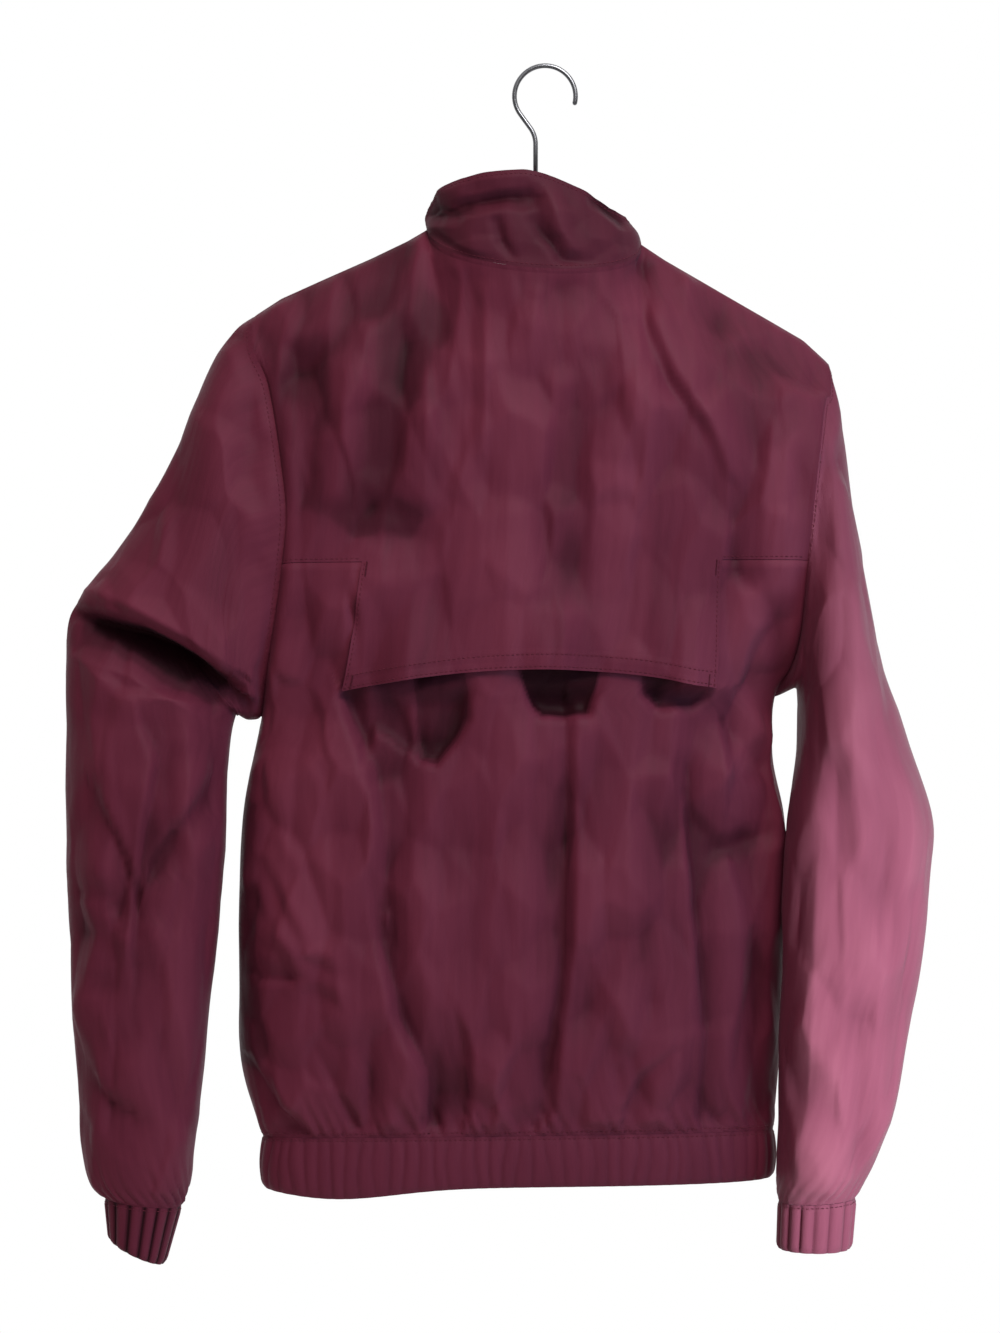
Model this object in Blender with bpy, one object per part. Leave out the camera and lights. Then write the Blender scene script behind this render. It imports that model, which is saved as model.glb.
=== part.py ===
"""A windbreaker on a hanger: each cut-and-sewn piece is a thin closed wall at its real size.

Frame: metres, +Z up, origin where a rail bears on the inside of the hook. The zip faces -Y,
the back with its storm flap faces +Y, and the wearer's left is +X. Sizes below are in millimetres.
"""

import math

import bmesh
import bpy
import numpy as np

MM = 0.001

# Driving sizes
WALL = 1.4  # cloth wall, with its seam allowances
SEAM = 0.34  # gap left between two sewn pieces
LAP = 0.4  # gap between a piece and the piece that it lies on
ZIP_X = 10.0  # the zip's centre line
ZIP_HALF_GAP = 7.0  # from the zip's centre line to each front's edge
BACK_COLUMNS = (9, 14, 9)  # left shoulder, neck, right shoulder
FRONT_COLUMNS = (9, 6)  # shoulder, half of the front neck
FOLD_PITCH = 3  # hem gathers: one in so many columns

# The body's sections from the hem seam up to the underarm: the two side seams, how deep the ring is
# behind and before them, how square it is, and how far its middle rises above the side seams.
LEVEL = ("x_left", "z_left", "x_right", "z_right", "back", "front", "square", "rise_back", "rise_front")
BODY_LEVELS = [
    (203.0, -768.0, -164.0, -763.0, 50.0, 48.0, 2.9, 4.0, 0.0),
    (217.5, -722.0, -168.0, -720.0, 60.0, 55.0, 2.8, 0.0, 0.0),
    (220.0, -657.0, -172.0, -657.0, 62.0, 56.0, 2.7, 0.0, 0.0),
    (220.0, -592.0, -174.0, -592.0, 59.0, 54.0, 2.6, 0.0, 0.0),
    (216.5, -530.0, -172.0, -537.0, 55.0, 51.0, 2.5, 0.0, 0.0),
    (208.0, -487.0, -163.5, -490.0, 51.0, 49.0, 2.4, 0.0, 0.0),
]
# The armhole seams from the underarm up to the shoulder tip, and the body's section at each of those heights.
ARMHOLE = ("x_left", "z_left", "back_left", "x_right", "z_right", "back_right")
ARMHOLES = [
    (204.0, -467.0, 1.0, -165.0, -453.0, 1.0),
    (199.0, -434.0, 15.0, -176.0, -430.0, 19.0),
    (187.5, -358.0, 30.0, -185.0, -356.0, 42.0),
    (184.5, -322.0, 32.0, -189.0, -318.0, 45.0),
    (189.0, -280.0, 30.0, -194.0, -278.0, 41.0),
    (197.0, -233.0, 24.0, -199.0, -245.0, 27.0),
]
UPPER = ("back", "front", "square", "rise_back", "rise_front")
UPPER_LEVELS = [
    (49.0, 48.0, 2.2, 0.0, 0.0),
    (48.0, 47.0, 2.2, -2.0, -6.0),
    (47.0, 46.0, 2.1, 0.0, -10.0),
    (47.0, 45.0, 2.1, 2.0, -14.0),
    (47.0, 44.0, 2.0, 6.0, -20.0),
    (46.5, 43.0, 2.0, 16.0, -24.0),
]
FRONT_SCOOP = 10.0  # how much further the front armhole is cut in
FRONT_FLATTER = 0.86  # the front armhole's depth against the back's
FLAP_ROW = 1  # the armhole section where the storm flap's free edge lies
YOKE_ROW = 2  # the armhole section where the yoke is sewn to the back

# The shoulder seams, from each tip to the neck, over the hanger's arms
SHOULDER_LEFT = [(210.0, -179.0), (190.0, -166.0), (159.0, -152.0), (125.0, -137.0), (99.0, -124.5), (84.5, -116.0)]
SHOULDER_RIGHT = [(-204.5, -213.0), (-186.0, -196.0), (-162.0, -182.0), (-136.0, -167.0), (-86.0, -138.0), (-69.5, -127.0)]
# The neck seam: half depths, and how far it drops behind and before
NECK_BACK, NECK_FRONT = 46.0, 42.0
NECK_DROP_BACK, NECK_DROP_FRONT = 28.0, 82.0
# The roll of the cloth over the hanger's arm: down and out from the shoulder seam, then the same at the neck
ROLL = [{"out": 15.0, "down": 15.0, "neck_out": 1.0, "neck_down": 22.0}, {"out": 9.5, "down": 4.5, "neck_out": 0.5, "neck_down": 9.0}]

# The sleeves' sections: outer and inner edge, half depth, and how far the section lies behind the hanger's plane
SECTION = ("x_outer", "z_outer", "x_inner", "z_inner", "half_depth", "y")
SLEEVE_LEFT = [
    (227.0, -192.0, 208.0, -469.0, 36.0, 0.5),
    (237.0, -208.0, 212.0, -469.5, 38.0, 1.0),
    (262.0, -267.0, 217.0, -468.5, 40.0, 2.0),
    (283.0, -310.0, 219.5, -467.0, 39.0, 3.0),
    (312.0, -353.0, 221.0, -466.0, 36.0, 4.0),
    (341.0, -394.0, 222.0, -467.0, 33.0, 4.0),
    (344.0, -430.0, 224.0, -475.0, 34.0, 4.0),
    (344.0, -477.0, 226.0, -490.0, 38.0, 5.0),
    (343.0, -541.0, 229.5, -541.0, 40.0, 6.0),
    (343.0, -599.0, 233.0, -599.0, 38.0, 6.0),
    (340.5, -656.0, 239.5, -656.0, 36.0, 6.0),
    (336.0, -728.0, 246.0, -728.0, 34.0, 6.0),
    (333.0, -778.0, 251.0, -778.0, 30.0, 6.0),
    (325.5, -803.0, 254.5, -803.0, 26.5, 6.0),
    (316.0, -812.0, 261.0, -818.0, 23.5, 6.0),
]
SLEEVE_RIGHT = [
    (-212.0, -253.0, -174.5, -449.0, 47.0, 2.0),
    (-219.0, -304.0, -179.0, -446.5, 55.0, 5.0),
    (-227.5, -361.0, -181.0, -449.0, 60.0, 9.0),
    (-240.0, -426.0, -180.5, -464.0, 60.0, 14.0),
    (-257.0, -483.0, -179.0, -490.0, 56.0, 22.0),
    (-274.5, -540.0, -171.5, -536.0, 50.0, 30.0),
    (-272.0, -582.0, -168.5, -582.0, 47.0, 36.0),
    (-265.5, -638.5, -166.5, -638.5, 45.0, 38.0),
    (-255.0, -695.0, -164.5, -695.0, 42.0, 39.0),
    (-244.5, -748.0, -163.5, -748.0, 38.0, 39.0),
    (-229.5, -787.0, -163.0, -787.0, 33.0, 39.0),
    (-219.0, -806.0, -164.5, -809.0, 26.0, 39.0),
]
CUFF_LEFT_END = (313.0, -842.0, 273.0, -860.0, 22.5, 5.0)
CUFF_RIGHT_END = (-216.0, -842.0, -163.5, -842.0, 26.0, 38.0)

# The largest folds, each a soft trough (-) or ridge (+) from one point to another on a panel
FOLD = ("x0", "z0", "x1", "z1", "half_width", "depth0", "depth1")
BACK_FOLDS = [
    (171.0, -227.0, 170.0, -311.0, 13.0, -7.0, -9.0),
    (145.0, -213.0, 144.0, -297.0, 11.0, 5.0, 5.0),
    (118.0, -203.0, 112.0, -284.0, 10.0, -4.0, -5.0),
    (86.0, -225.0, 84.0, -306.0, 12.0, 5.0, 6.0),
    (64.0, -193.0, 55.0, -262.0, 13.0, -5.0, -6.0),
    (104.0, -330.0, 84.0, -336.0, 13.0, -7.0, -5.0),
    (18.0, -160.0, 26.0, -405.0, 24.0, 5.0, 6.0),
    (-34.0, -205.0, -12.0, -400.0, 16.0, -7.0, -8.0),
    (-66.0, -203.0, -57.0, -330.0, 11.0, 6.0, 5.0),
    (-76.0, -173.0, -136.0, -286.0, 9.0, 6.0, 5.0),
    (-155.0, -240.0, -155.0, -311.0, 13.0, -7.0, -6.0),
    (145.0, -452.0, 113.0, -569.0, 13.0, -9.0, -7.0),
    (122.0, -580.0, 82.0, -732.0, 14.0, -9.0, -11.0),
    (98.0, -505.0, 88.0, -680.0, 17.0, 5.0, 5.0),
    (-26.0, -460.0, -18.0, -570.0, 12.0, -8.0, -9.0),
    (-12.0, -600.0, 0.0, -750.0, 14.0, -10.0, -10.0),
    (-47.0, -450.0, -30.0, -680.0, 18.0, 5.0, 5.0),
    (-102.0, -507.0, -112.0, -745.0, 11.0, -9.0, -8.0),
    (210.0, -590.0, 172.0, -690.0, 13.0, -6.0, -6.0),
    (70.0, -460.0, 76.0, -495.0, 20.0, -7.0, -3.0),
]
FRONT_FOLDS = [
    (150.0, -230.0, 142.0, -330.0, 13.0, -7.0, -7.0),
    (88.0, -200.0, 120.0, -420.0, 15.0, -6.0, -7.0),
    (120.0, -500.0, 84.0, -735.0, 14.0, -7.0, -10.0),
    (170.0, -560.0, 140.0, -730.0, 14.0, -7.0, -8.0),
    (-70.0, -220.0, -96.0, -430.0, 15.0, -6.0, -7.0),
    (-140.0, -250.0, -132.0, -350.0, 13.0, -7.0, -6.0),
    (-80.0, -510.0, -64.0, -735.0, 14.0, -7.0, -10.0),
    (-136.0, -540.0, -118.0, -735.0, 12.0, -6.0, -8.0),
]
SLEEVE_LEFT_BACK_FOLDS = [
    (330.0, -424.0, 250.0, -456.0, 19.0, -24.0, -9.0),
    (300.0, -388.0, 246.0, -424.0, 13.0, 8.0, 5.0),
    (291.0, -475.0, 293.0, -640.0, 10.0, -6.0, -4.0),
    (236.0, -520.0, 283.0, -562.0, 8.0, -5.0, -5.0),
    (322.0, -520.0, 294.0, -588.0, 8.0, -5.0, -5.0),
    (340.0, -612.0, 296.0, -632.0, 8.0, -5.0, -3.0),
    (334.0, -740.0, 306.0, -772.0, 9.0, -4.0, -3.0),
]
SLEEVE_LEFT_FRONT_FOLDS = [
    (326.0, -418.0, 256.0, -456.0, 17.0, -14.0, -6.0),
    (330.0, -520.0, 262.0, -600.0, 11.0, -6.0, -5.0),
    (300.0, -640.0, 290.0, -760.0, 11.0, -5.0, -5.0),
]
SLEEVE_RIGHT_BACK_FOLDS = [
    (-222.0, -430.0, -236.0, -560.0, 10.0, -4.0, -5.0),
    (-252.0, -560.0, -226.0, -720.0, 11.0, -5.0, -4.0),
    (-196.0, -500.0, -186.0, -700.0, 11.0, -4.0, -3.0),
]
SLEEVE_RIGHT_FRONT_FOLDS = [
    (-205.0, -420.0, -230.0, -560.0, 12.0, -6.0, -6.0),
    (-236.0, -600.0, -196.0, -720.0, 12.0, -5.0, -5.0),
]

# The storm flap stands away from the back along its free edge
FLAP_X_LEFT, FLAP_X_RIGHT = 144.0, -121.0
FLAP_REST = 2.0
BULGE = ("x", "half_width", "stand")
FLAP_BULGES = [(101.0, 33.0, 13.0), (-5.0, 22.0, 11.0), (-96.0, 20.0, 11.0)]
FLAP_CORNER_DIP = 14.0

# The collar: its top edge round the neck, by angle from the wearer's left over the back
COLLAR_TOP = ("angle", "z")
COLLAR_TOPS = [(-90.0, -146.0), (-45.0, -122.0), (0.0, -101.0), (28.0, -89.0), (62.0, -81.5), (88.0, -80.0),
               (104.0, -84.0), (118.0, -90.5), (150.0, -102.0), (180.0, -112.0), (225.0, -128.0), (270.0, -146.0)]
COLLAR_TOP_CENTRE, COLLAR_TOP_HALF = 12.0, 71.0
COLLAR_TOP_BACK, COLLAR_TOP_FRONT = 40.0, 42.0
COLLAR_ROWS = 6
COLLAR_FOLDS = [
    (62.0, -108.0, 22.0, -110.0, 9.0, -8.0, -7.0),
    (54.0, -92.0, 10.0, -90.0, 8.0, 4.0, 4.0),
    (4.0, -98.0, -12.0, -136.0, 7.0, 5.0, 5.0),
    (2.0, -112.0, -8.0, -140.0, 5.0, -6.0, -7.0),
    (-34.0, -112.0, -40.0, -130.0, 12.0, -5.0, -5.0),
    (40.0, -136.0, 24.0, -128.0, 12.0, 5.0, 4.0),
]

# The elastic casings
BAND_LEFT_Z, BAND_RIGHT_Z, BAND_SAG = -800.0, -796.0, 8.0
BAND_WAVES = 80
BAND_WAVE = 1.1
CUFF_WAVES = 15
CUFF_WAVE = 1.1

# The hanger and its hook
HOOK_RADIUS = 22.0
WIRE_RADIUS = 1.75
HOOK_TIP_DEG, HOOK_END_DEG = 193.0, -36.0
STEM_BEND = [(15.2, -37.0), (11.6, -41.2), (8.6, -45.6), (7.0, -50.5)]
STEM_X, STEM_FOOT_Z = 6.8, -109.15
ARM_HALF_WIDTH, ARM_HALF_HEIGHT = 6.4, 9.0
ARM_UNDER = 1.6
ARM_TIP_INSET = 12.0
ARM_CENTRE_Z = -117.0

# The zip
TAPE_THICK, TAPE_UNDER, TAPE_LAP = 0.8, 6.0, 1.1
CHAIN_HALF, CHAIN_THICK = 3.0, 2.2
SLIDER_HALF, SLIDER_LONG, PLATE = 4.6, 11.0, 1.2
PULL_HALF, PULL_LONG, PULL_THICK = 3.5, 30.0, 1.4


# ---------------------------------------------------------------- points, curves and sections

def named(columns, row):
    return dict(zip(columns, row))


def resampled(line, count):
    """The line's points spaced evenly along it, as count + 1 points."""
    line = np.asarray(line, float)
    run = np.concatenate([[0], np.cumsum(np.linalg.norm(np.diff(line, axis=0), axis=1))])
    at = np.linspace(0, run[-1], count + 1)
    return np.stack([np.interp(at, run, line[:, k]) for k in range(line.shape[1])], axis=1)


def through(rows, steps):
    """A smooth surface through rows of points, with steps[i] new rows between row i and the next."""
    rows = np.asarray(rows, float)
    gaps = np.linalg.norm(np.diff(rows, axis=0), axis=2).mean(axis=1)
    at = np.concatenate([[0], np.cumsum(gaps)])
    slopes = np.empty_like(rows)
    chords = np.diff(rows, axis=0) / gaps[:, None, None]
    slopes[0], slopes[-1] = chords[0], chords[-1]
    for i in range(1, len(rows) - 1):
        before, after = gaps[i - 1], gaps[i]
        slopes[i] = (chords[i - 1] * after + chords[i] * before) / (before + after)
    made = []
    for i, count in enumerate(steps):
        for t in np.arange(count) / count:
            h = gaps[i]
            made.append(
                (2 * t**3 - 3 * t**2 + 1) * rows[i]
                + (t**3 - 2 * t**2 + t) * h * slopes[i]
                + (3 * t**2 - 2 * t**3) * rows[i + 1]
                + (t**3 - t**2) * h * slopes[i + 1]
            )
    made.append(rows[-1])
    return np.array(made)


def smooth(low, high, value):
    t = np.clip((value - low) / (high - low), 0, 1)
    return t * t * (3 - 2 * t)


def unit(vectors):
    return vectors / np.maximum(np.linalg.norm(vectors, axis=-1, keepdims=True), 1e-12)


def half_section(x_left, z_left, y_left, x_right, z_right, y_right, depth, square, rise, side):
    """Half of the body's section, from the left edge to the right, behind (side 1) or before (side -1)."""
    angle = np.linspace(0, math.pi, 161)
    across = np.sign(np.cos(angle)) * np.abs(np.cos(angle)) ** (2 / square)
    bulge = np.abs(np.sin(angle)) ** (2 / square)
    left, right = (1 + across) / 2, (1 - across) / 2
    edge = y_left * left + y_right * right
    x = x_left * left + x_right * right
    y = side * (edge + (depth - edge) * bulge)
    z = z_left * left + z_right * right + rise * bulge
    return np.stack([x, y, z], axis=1)


def body_section(row, side):
    level = named(LEVEL, row)
    depth, rise = (level["back"], level["rise_back"]) if side > 0 else (level["front"], level["rise_front"])
    return half_section(level["x_left"], level["z_left"], 0, level["x_right"], level["z_right"], 0,
                        depth, level["square"], rise, side)


def armhole_section(index, side):
    hole, level = named(ARMHOLE, ARMHOLES[index]), named(UPPER, UPPER_LEVELS[index])
    depth, rise = (level["back"], level["rise_back"]) if side > 0 else (level["front"], level["rise_front"])
    scoop = FRONT_SCOOP * math.sin(math.pi * index / len(ARMHOLES)) if side < 0 else 0
    flatter = FRONT_FLATTER if side < 0 else 1
    return half_section(hole["x_left"] - scoop, hole["z_left"], hole["back_left"] * flatter,
                        hole["x_right"] + scoop, hole["z_right"], hole["back_right"] * flatter,
                        depth, level["square"], rise, side)


def neck_point(angle):
    """A point of the neck seam. Angle 0 is the wearer's left, 90 the middle of the back, -90 the zip."""
    left, right = SHOULDER_LEFT[-1], SHOULDER_RIGHT[-1]
    across, bulge = math.cos(math.radians(angle)), math.sin(math.radians(angle))
    depth, drop = (NECK_BACK, NECK_DROP_BACK) if bulge > 0 else (NECK_FRONT, NECK_DROP_FRONT)
    x = (left[0] + right[0]) / 2 + (left[0] - right[0]) / 2 * across
    z = (left[1] + right[1]) / 2 + (left[1] - right[1]) / 2 * across - drop * bulge**2
    return (x, depth * bulge, z)


def shoulder(points, count):
    return resampled([(x, 0, z) for x, z in points], count)


def neck(start, end, count):
    return resampled([neck_point(a) for a in np.linspace(start, end, 60)], count)


def join(*lines):
    """Lines laid end to end, each starting where the one before it stops."""
    return np.concatenate([lines[0]] + [line[1:] for line in lines[1:]])


def rolled(top, side):
    """The two rows under the top edge, where the cloth rolls over the hanger's arm."""
    made = []
    away = np.abs(top[:, 1])
    neck_share = smooth(0, 22, away)
    for roll in ROLL:
        out = np.maximum(roll["out"] - away, roll["neck_out"])
        down = roll["down"] * (1 - neck_share) + roll["neck_down"] * neck_share
        made.append(top + np.stack([0 * out, side * out, -down], axis=1))
    return made


# Rows of the grid between one section and the next: below the underarm, then up the armhole
LOWER_STEPS = [2, 3, 3, 2, 2, 1]
UPPER_STEPS = [1, 3, 1, 2, 1, 1, 1, 1]
UNDERARM = sum(LOWER_STEPS)
FLAP_EDGE = UNDERARM + UPPER_STEPS[0]
YOKE_SEAM = FLAP_EDGE + UPPER_STEPS[1]
ARMHOLE_STEPS = sum(UPPER_STEPS)


def back_surface():
    """The whole back from the hem seam to the shoulder and neck seams, before it is cut into pieces."""
    left, middle, right = BACK_COLUMNS
    columns = left + middle + right
    rows = [resampled(body_section(row, 1), columns) for row in BODY_LEVELS]
    rows += [resampled(armhole_section(i, 1), columns) for i in range(len(ARMHOLES))]
    top = join(shoulder(SHOULDER_LEFT, left), neck(0, 180, middle), shoulder(SHOULDER_RIGHT, right)[::-1])
    rows += [*rolled(top, 1), top]
    return through(rows, LOWER_STEPS + UPPER_STEPS)


def front_surface(side_x):
    """One front from its side seam or armhole (column 0) to the zip. side_x is 1 on the wearer's left."""
    over, under = FRONT_COLUMNS
    edge = ZIP_X + side_x * ZIP_HALF_GAP
    rows = []
    for section in [body_section(row, -1) for row in BODY_LEVELS] + [armhole_section(i, -1) for i in range(len(ARMHOLES))]:
        line = section if side_x > 0 else section[::-1]
        rows.append(resampled(cut_at(line, edge, side_x), over + under))
    points = SHOULDER_LEFT if side_x > 0 else SHOULDER_RIGHT
    neck_line = neck(0, -90, 60) if side_x > 0 else neck(180, 270, 60)
    top = join(shoulder(points, over), resampled(cut_at(neck_line, edge, side_x), under))
    rows += [*rolled(top, -1), top]
    return through(rows, LOWER_STEPS + UPPER_STEPS)


def cut_at(line, x, side_x):
    """The start of a line, as far as it reaches x."""
    keep = int(np.argmax((line[:, 0] - x) * side_x <= 0))
    before, after = line[keep - 1], line[keep]
    t = (x - before[0]) / (after[0] - before[0])
    return np.concatenate([line[:keep], [before + (after - before) * t]])


def outward(grid, wrap=False):
    """Unit normals of a grid of points, pointing away from the garment's inside."""
    if wrap:
        along = np.roll(grid, -1, axis=1) - np.roll(grid, 1, axis=1)
    else:
        along = np.gradient(grid, axis=1)
    up = np.gradient(grid, axis=0)
    normals = unit(np.cross(along, up))
    centre = grid.mean(axis=1, keepdims=True)
    flip = np.sign(((grid - centre) * normals).sum(axis=(0, 1, 2)))
    return normals * flip


def body_outward(grid, side):
    normals = unit(np.cross(np.gradient(grid, axis=1), np.gradient(grid, axis=0)))
    flip = np.sign(normals[..., 1].sum()) * side
    return normals * flip


def folded(grid, normals, folds, share=1.0):
    """The grid moved along its normals by a table of troughs and ridges."""
    x, z = grid[..., 0], grid[..., 2]
    depth = np.zeros(x.shape)
    for row in folds:
        fold = named(FOLD, row)
        run = np.array([fold["x1"] - fold["x0"], fold["z1"] - fold["z0"]])
        t = ((x - fold["x0"]) * run[0] + (z - fold["z0"]) * run[1]) / (run @ run)
        t = np.clip(t, 0, 1)
        away = np.hypot(x - fold["x0"] - t * run[0], z - fold["z0"] - t * run[1])
        depth += (fold["depth0"] * (1 - t) + fold["depth1"] * t) * np.exp(-((away / fold["half_width"]) ** 2))
    return grid + normals * (depth * share)[..., None]


# ---------------------------------------------------------------- solids

def wall(name, outer, normals, finish, used=None, wrap=False, thick=WALL):
    """A closed wall of cloth: a grid of outer points, the same points moved in, and a rim along every edge."""
    rows, columns = outer.shape[:2]
    cells = columns if wrap else columns - 1
    used = np.ones((rows - 1, cells), bool) if used is None else used
    inner = outer - normals * thick
    points = np.concatenate([outer.reshape(-1, 3), inner.reshape(-1, 3)]) * MM
    under = rows * columns
    edges = {}
    faces = []
    for i in range(rows - 1):
        for j in range(cells):
            if not used[i, j]:
                continue
            k = (j + 1) % columns
            quad = [i * columns + j, i * columns + k, (i + 1) * columns + k, (i + 1) * columns + j]
            for corners in (quad[:3], [quad[0], quad[2], quad[3]]):
                faces.append(corners)
                faces.append([under + v for v in reversed(corners)])
            for a, b in zip(quad, quad[1:] + quad[:1]):
                edges[(a, b)] = True
    rim = [(a, b) for a, b in edges if (b, a) not in edges]
    rank = points @ np.array([0.37, 0.11, 1.0])
    for a, b in rim:
        if rank[a] > rank[b]:
            faces += [[b, a, under + b], [a, under + a, under + b]]
        else:
            faces += [[b, a, under + a], [b, under + a, under + b]]
    first = faces[0]
    way = np.cross(points[first[1]] - points[first[0]], points[first[2]] - points[first[0]])
    if way @ normals.reshape(-1, 3)[first[0]] < 0:
        faces = [face[::-1] for face in faces]
    return solid(name, points, faces, finish)


def solid(name, points, faces, finish):
    mesh = bpy.data.meshes.new(name)
    mesh.from_pydata([tuple(p) for p in points], [], faces)
    shape = bmesh.new()
    shape.from_mesh(mesh)
    bmesh.ops.delete(shape, geom=[v for v in shape.verts if not v.link_faces], context="VERTS")
    shape.to_mesh(mesh)
    shape.free()
    mesh.shade_smooth()
    mesh.materials.append(finish)
    made = bpy.data.objects.new(name, mesh)
    bpy.context.scene.collection.objects.link(made)
    return made


def share_seam(first, first_at, second, second_at):
    """Gives two sewn edges one wall direction, so that their rims face each other across an even gap."""
    both = unit(first[first_at] + second[second_at])
    first[first_at] = both
    second[second_at] = both


def share_corner(*places):
    """The same for a corner where three pieces meet."""
    both = unit(sum(normals[at] for normals, at in places))
    for normals, at in places:
        normals[at] = both


def eased(normals, wrap=False):
    """Wall directions that turn gently towards those along the seams, so that the wall never crosses itself."""
    for _ in range(3):
        padded = np.concatenate([normals[:, -1:], normals, normals[:, :1]], axis=1) if wrap else normals
        middle = unit(2 * padded[1:-1, 1:-1] + padded[:-2, 1:-1] + padded[2:, 1:-1] + padded[1:-1, :-2] + padded[1:-1, 2:])
        if wrap:
            normals[1:-1] = middle
        else:
            normals[1:-1, 1:-1] = middle
    return normals


def drawn_back(grid, row_start=0.0, row_end=0.0, column_start=0.0, column_end=0.0):
    """The grid with its edges drawn back along the cloth, to leave the seams' gap."""
    made = grid.copy()
    made[0] += unit(grid[1] - grid[0]) * row_start
    made[-1] += unit(grid[-2] - grid[-1]) * row_end
    made[:, 0] += unit(grid[:, 1] - grid[:, 0]) * column_start
    made[:, -1] += unit(grid[:, -2] - grid[:, -1]) * column_end
    return made


def material(name, colour, roughness, metallic=0.0):
    made = bpy.data.materials.new(name)
    made.use_nodes = True
    shader = made.node_tree.nodes["Principled BSDF"]
    shader.inputs["Base Color"].default_value = (*colour, 1)
    shader.inputs["Roughness"].default_value = roughness
    shader.inputs["Metallic"].default_value = metallic
    made.diffuse_color = (*colour, 1)
    return made


# ---------------------------------------------------------------- the garment's pieces

def hem_gathers(grid, normals):
    """Small pleats over the hem seam, where the elastic draws the cloth in."""
    columns = np.arange(grid.shape[1])
    wave = np.where(columns % FOLD_PITCH == 0, -1.0, 0.5) * 3.0
    height = np.array([0, 1, 0.55, 0.2] + [0] * (len(grid) - 4))
    edge = smooth(0, 2, columns) * smooth(0, 2, columns[::-1])
    return grid + normals * (height[:, None] * (wave * edge)[None, :])[..., None]


def make_body(nylon):
    """Back, yoke with its storm flap, and the two fronts. Returns what the other pieces are sewn to."""
    back = back_surface()
    back_out = body_outward(back, 1)
    fade = np.ones(back.shape[:2])
    fade[-1] = 0
    fade[-2] = 0.3
    fade[0] = 0
    back = folded(back, back_out, BACK_FOLDS, edge_fade(back) * fade)
    back = hem_gathers(back, back_out)
    fronts = {}
    for side, side_x in (("left", 1), ("right", -1)):
        front = front_surface(side_x)
        front_out = body_outward(front, -1)
        fade = np.ones(front.shape[:2])
        fade[[0, -1]] = 0
        calm = smooth(ZIP_HALF_GAP, ZIP_HALF_GAP + 30, np.abs(front[..., 0] - ZIP_X))
        front = folded(front, front_out, FRONT_FOLDS, fade * calm * edge_fade(front))
        fronts[side] = hem_gathers(front, front_out)
    return back, fronts


def edge_fade(grid):
    """0 along the two side edges of a panel, and 1 from two columns in."""
    columns = np.arange(grid.shape[1])
    share = smooth(0, 2, columns) * smooth(0, 2, columns[::-1])
    return np.broadcast_to(share, grid.shape[:2])


def sleeve_surface(armhole, table, steps, back_folds, front_folds):
    """A sleeve from the armhole down to the cuff seam. Column 0 is the shoulder tip, the back comes first."""
    count = len(armhole)
    even = 2 * math.pi * np.arange(count) / count
    top, foot = armhole[0, 2], armhole[count // 2, 2]
    height = np.clip(2 * (armhole[:, 2] - foot) / (top - foot) - 1, -1, 1)
    own = np.arccos(height)
    own[count // 2 + 1:] = 2 * math.pi - own[count // 2 + 1:]
    rows = [armhole]
    for row, share in zip(table, [0.2, 0.45, 0.75] + [1.0] * len(table)):
        rows.append(sleeve_ring(named(SECTION, row), own * (1 - share) + even * share))
    grid = through(rows, steps)
    normals = sleeve_outward(grid)
    fade = smooth(0, 3, np.arange(len(grid)))[:, None] * smooth(0, 1.5, np.arange(len(grid))[::-1])[:, None]
    behind = (normals[..., 1] > 0).astype(float) * np.abs(normals[..., 1])
    before = (normals[..., 1] < 0).astype(float) * np.abs(normals[..., 1])
    grid = folded(grid, normals, back_folds, fade * behind)
    grid = folded(grid, normals, front_folds, fade * before)
    return grid


def sleeve_ring(section, angle):
    outer = np.array([section["x_outer"], section["y"], section["z_outer"]])
    inner = np.array([section["x_inner"], section["y"], section["z_inner"]])
    middle, reach = (outer + inner) / 2, (outer - inner) / 2
    behind = np.array([0, section["half_depth"], 0])
    return middle + np.cos(angle)[:, None] * reach + np.sin(angle)[:, None] * behind


def sleeve_outward(grid):
    along = np.roll(grid, -1, axis=1) - np.roll(grid, 1, axis=1)
    down = np.gradient(grid, axis=0)
    normals = unit(np.cross(along, down))
    centre = grid.mean(axis=1, keepdims=True)
    return normals * np.sign(((grid - centre) * normals).sum())


def band_points(lower_left, lower_right, columns, rows):
    """The hem casing, from one zip edge round the back to the other, in a gathered ring."""
    level = named(LEVEL, BODY_LEVELS[0])
    made = []
    for t in np.linspace(0, 1, rows + 1):
        z_left = level["z_left"] * (1 - t) + lower_left * t
        z_right = level["z_right"] * (1 - t) + lower_right * t
        swell = 2.0 * math.sin(math.pi * t)
        rise = level["rise_back"] * (1 - t)
        back = half_section(level["x_left"] + swell, z_left, 0, level["x_right"] - swell, z_right, 0,
                            level["back"] + swell, level["square"], rise, 1)
        front = half_section(level["x_left"] + swell, z_left, 0, level["x_right"] - swell, z_right, 0,
                             level["front"] + swell * 0.3, level["square"], 0, -1)
        left = cut_at(front, ZIP_X + ZIP_HALF_GAP, 1)[::-1]
        right = cut_at(front[::-1], ZIP_X - ZIP_HALF_GAP, -1)
        ring = resampled(join(left, back, right), columns)
        ring[:, 2] -= BAND_SAG * t * np.exp(-(((ring[:, 0] - 150) / 60) ** 2)) * (ring[:, 1] > 0)
        made.append(ring)
    return np.array(made)


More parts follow.
